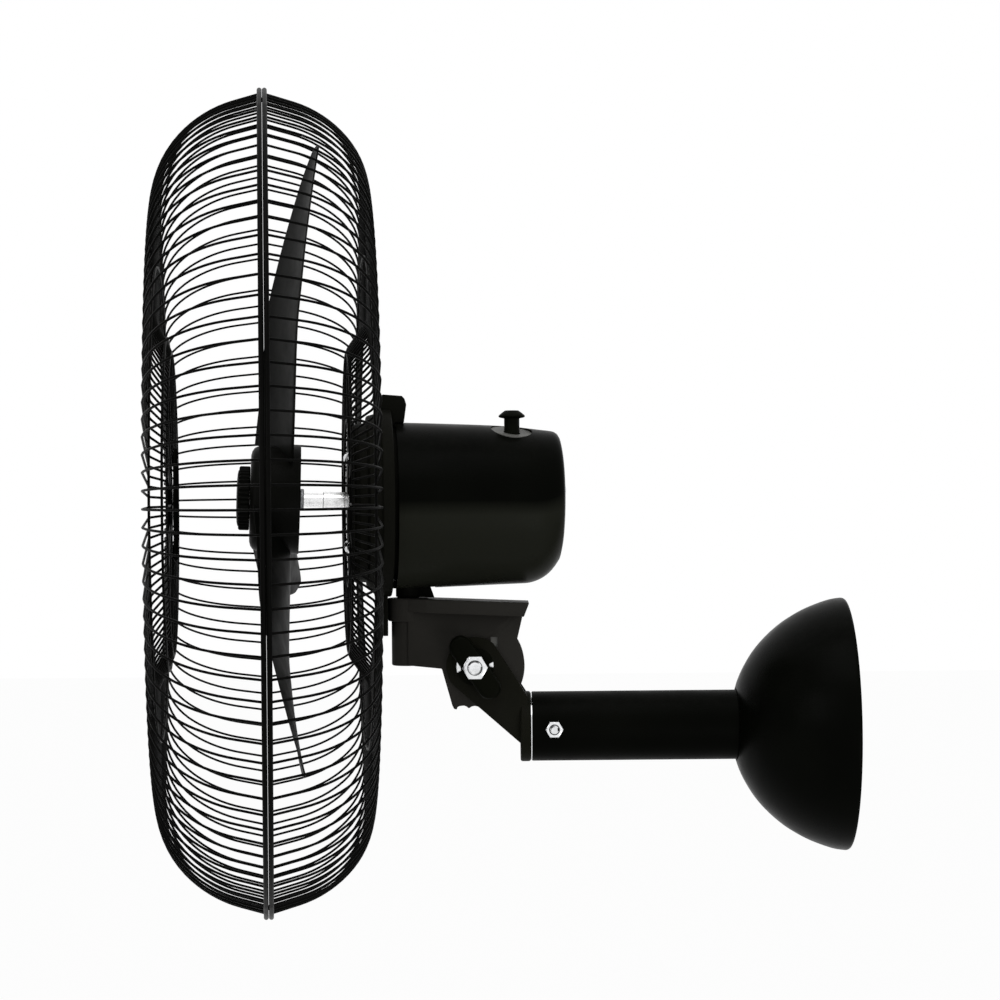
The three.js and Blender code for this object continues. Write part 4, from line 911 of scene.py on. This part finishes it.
def makeBlade():
    blade = {
        "stations": [(34, 60, 27, 5), (78, 66, 21, 6.8), (131, 66, 18.5, 8.4), (165, 60, 16.5, 12.5),
                     (198, 50, 14, 17.5), (230, 36, 11.5, 23.2), (250, 22, 9, 27.5), (256, 13, 8.2, 29.2),
                     (258, 5, 8, 30)],  # radius, chord, pitch in degrees, place behind the rims
        "rootThickness": 5.2, "tipThickness": 1.6, "tip": 258, "camber": 0.05, "sectionSteps": 14,
    }
    steps = blade["sectionSteps"]
    shares = [(1 - math.cos(math.pi * i / steps)) / 2 for i in range(steps + 1)]
    # the section's points: place along the chord from the leading edge, height out of it
    section = [(0.5 - t, 0.6 * foil(t) + 0.05) for t in shares]
    section += [(0.5 - t, -0.3 * foil(t) - 0.04) for t in reversed(shares)]
    thinning = blade["rootThickness"] - blade["tipThickness"]
    rings = []
    for radius, chord, pitch, back in curved(blade["stations"], 6):
        thick = blade["rootThickness"] - thinning * radius / blade["tip"]
        c, s = math.cos(pitch * degree), math.sin(pitch * degree)
        ring = []
        for along, out in section:
            lift = out * thick + blade["camber"] * chord * (1 - 4 * along * along)
            tangent = along * chord * c - lift * s
            ring.append((rimPlace + back + along * chord * s + lift * c, -tangent, radius))
        rings.append(ring)
    return skinned(rings)


def makePropeller():
    hub = {"front": -115, "back": -79, "radius": 40, "bore": 5.3, "ribs": 6, "ribHalf": 0.9,
           "blades": 3, "firstBlade": 14.5}
    one = makeBlade()
    turns = [(hub["firstBlade"] + 360 / hub["blades"] * k) * degree for k in range(hub["blades"])]
    blades = [moved(one, Matrix.Rotation(a, 4, "X")) for a in turns]
    front, back, radius = hub["front"], hub["back"], hub["radius"]
    cup = lathe([(front, hub["bore"]), (front, radius - 8.4), (front + 0.8, radius - 5.4),
                 (front + 2.4, radius - 3.1), (front + 4.6, radius - 2), (back - 0.5, radius),
                 (back, radius - 0.4), (back, radius - 3.8), (front + 9, radius - 7), (front + 9, 13),
                 (back, 12), (back, hub["bore"])], 96)
    ribOutline = [(front + 8, 12), (back - 6, 12), (back - 6, 35), (front + 8, 33.5)]
    rib = slab(ribOutline, -hub["ribHalf"], hub["ribHalf"])
    ribs = [moved(rib, Matrix.Rotation(a, 4, "X")) for a in around(hub["ribs"])]
    buildPiece("propeller", joined(cup, *ribs, *blades), atShaft, "rotor", ["propeller"], sharp=45)


def makeSpinner():
    spinner = {"radius": 23.5, "ribs": 42, "depth": 0.6, "sides": 336,
               "rim": ((-115.3, 0.8), (-115.9, 0.1), (-122.4, 0.1), (-123.3, 1.0)),  # place, inset
               "dome": [(-123.2, 20.6), (-123.9, 20.2), (-124.5, 17.6), (-124.9, 12.0), (-124.9, 0)]}
    rings = []
    for x, inset in spinner["rim"]:
        ring = []
        for a in around(spinner["sides"]):
            wave = spinner["depth"] * math.cos(spinner["ribs"] * a)
            r = spinner["radius"] - spinner["depth"] - inset + wave
            ring.append((x, r * math.cos(a), r * math.sin(a)))
        rings.append(ring)
    shape = joined(skinned(rings), lathe(spinner["dome"], 96, closed=False))
    buildPiece("spinnerNut", shape, atShaft, "rotor", ["spinner_nut"], sharp=30)


# wire guards with their rims and rings, and the badge
guard = {
    "radius": 300, "foot": 295.5, "wires": 120, "wire": 0.88, "rim": 1.8, "rimOffset": 1.83, "phase": 0.24,
    "ringWire": 0.95, "spokeEvery": 6,
    "front": {"foot": 16.2, "straight": 18.8, "bend": 85.5, "turn": 46.9, "closing": 74.4,
              "depth": 78.2, "floor": 67.0, "wall": 132, "inner": 110, "spokes": 38},
    "rear": {"foot": 16.4, "straight": 21.1, "bend": 79.4, "turn": 49.6, "closing": 62.3,
             "depth": 74.8, "floor": 60.0, "wall": 132, "inner": 110, "spokes": 60},
    "frontRing": 172, "recessRing": 121, "recessDepth": 72, "rearRing": 180,
}


def wirePath(cage, toCentre):
    # (radius, height above the rim plane): straight foot, two bends, flat annulus, recess wall, floor
    foot, turn = cage["foot"] * degree, cage["turn"] * degree
    r, h = guard["foot"], guard["rimOffset"]
    path = [(r, h)]
    r -= cage["straight"] * math.sin(foot)
    h += cage["straight"] * math.cos(foot)
    path.append((r, h))
    for low, high, radius in ((foot, turn, cage["bend"]), (turn, math.pi / 2, cage["closing"])):
        for i in range(1, 9):
            a, b = low + (high - low) * (i - 1) / 8, low + (high - low) * i / 8
            r -= radius * (math.cos(a) - math.cos(b))
            h += radius * (math.sin(b) - math.sin(a))
            path.append((r, min(h, cage["depth"])))
    outer, inner, depth, floor = cage["wall"], cage["inner"], cage["depth"], cage["floor"]
    path += [(outer + 5, depth), (outer + 1.5, depth - 0.3), (outer - 1.5, depth - 1.4),
             (inner + 4, floor + 1.6), (inner + 1, floor + 0.3), (inner - 2, floor)]
    if toCentre:
        path.append((cage["spokes"], floor))
    return path


def makeGuard(name, cage, side, nodes):
    shapes = []
    for k in range(guard["wires"]):
        a = 2 * math.pi * (k + guard["phase"]) / guard["wires"]
        path = wirePath(cage, k % guard["spokeEvery"] == 0)
        wire = [(rimPlace + side * h, r * math.cos(a), r * math.sin(a)) for r, h in path]
        shapes.append(sweep(wire, guard["wire"], 7))
    floor = rimPlace + side * cage["floor"]
    shapes.append(hoop(guard["radius"] - guard["rim"], rimPlace + side * guard["rimOffset"], guard["rim"]))
    shapes.append(hoop(cage["inner"], floor, guard["wire"], 120, 8))
    shapes.append(hoop(cage["spokes"] + 1, floor, guard["wire"], 72, 8))
    buildPiece(name, joined(*shapes), atHead, "head", nodes, sharp=60, clean=False)


def makeGuardRings():
    wire = guard["ringWire"]
    under = guard["wire"] + wire
    frontHoops = joined(
        hoop(guard["frontRing"], rimPlace - guard["front"]["depth"] + under, wire, 150, 8),
        hoop(guard["recessRing"], rimPlace - guard["recessDepth"] + under + 0.2, wire, 120, 8),
    )
    buildPiece("frontGuardRing", frontHoops, atHead, "head", ["front_guard_ring"], sharp=60, clean=False)
    rearHoop = hoop(guard["rearRing"], rimPlace + guard["rear"]["depth"] - under, wire, 150, 8)
    buildPiece("rearGuardRing", rearHoop, atHead, "head", ["rear_guard_ring"], sharp=60, clean=False)


def makeBadge():
    badge = {"gap": 1.25, "retainer": 41, "retainerNear": 2.8, "retainerFar": 4.0,
             "profile": [(0.2, 0), (0.2, 41.4), (0.9, 42), (1.9, 41.7), (2.5, 40.6), (2.6, 37.4),
                         (2.1, 36.8), (2.1, 35.6), (2.7, 35.0), (2.95, 22), (3.0, 0)]}  # height, radius
    face = rimPlace - guard["front"]["floor"] - badge["gap"]
    disc = lathe([(face - out, r) for out, r in badge["profile"]], 96, closed=False)
    buildPiece("badgeDisc", disc, atHead, "head", ["badge_disc"], sharp=50)
    near, far = face + badge["retainerNear"], face + badge["retainerFar"]
    retainer = ringDisc(badge["retainer"], pinhole, near, far, edge=0.3)
    buildPiece("badgeRetainer", retainer, atHead, "head", ["badge_retainer"], finish="dullMoulding")


makeCanopy()
makeTube()
print("wall end made")
makeYoke()
makeTiltClamp()
makeBracket()
print("tilt joint and bracket made")
makeShell()
makeShellScrews()
makeCasting()
makeDrive()
print("motor head made")
makePropeller()
makeSpinner()
print("propeller made")
makeGuard("frontGuard", guard["front"], -1, ["front_guard"])
makeGuard("rearGuard", guard["rear"], 1, ["rear_guard"])
makeGuardRings()
makeBadge()
print("guards made")


# finishes of the pieces that keep their own shape
for name, node in frame["nodes"].items():
    if not node.hide_render:
        for held in node.material_slots:
            held.material = finishes[finishOfSlot[slotOfNode[name]]]
print("carried pieces finished")
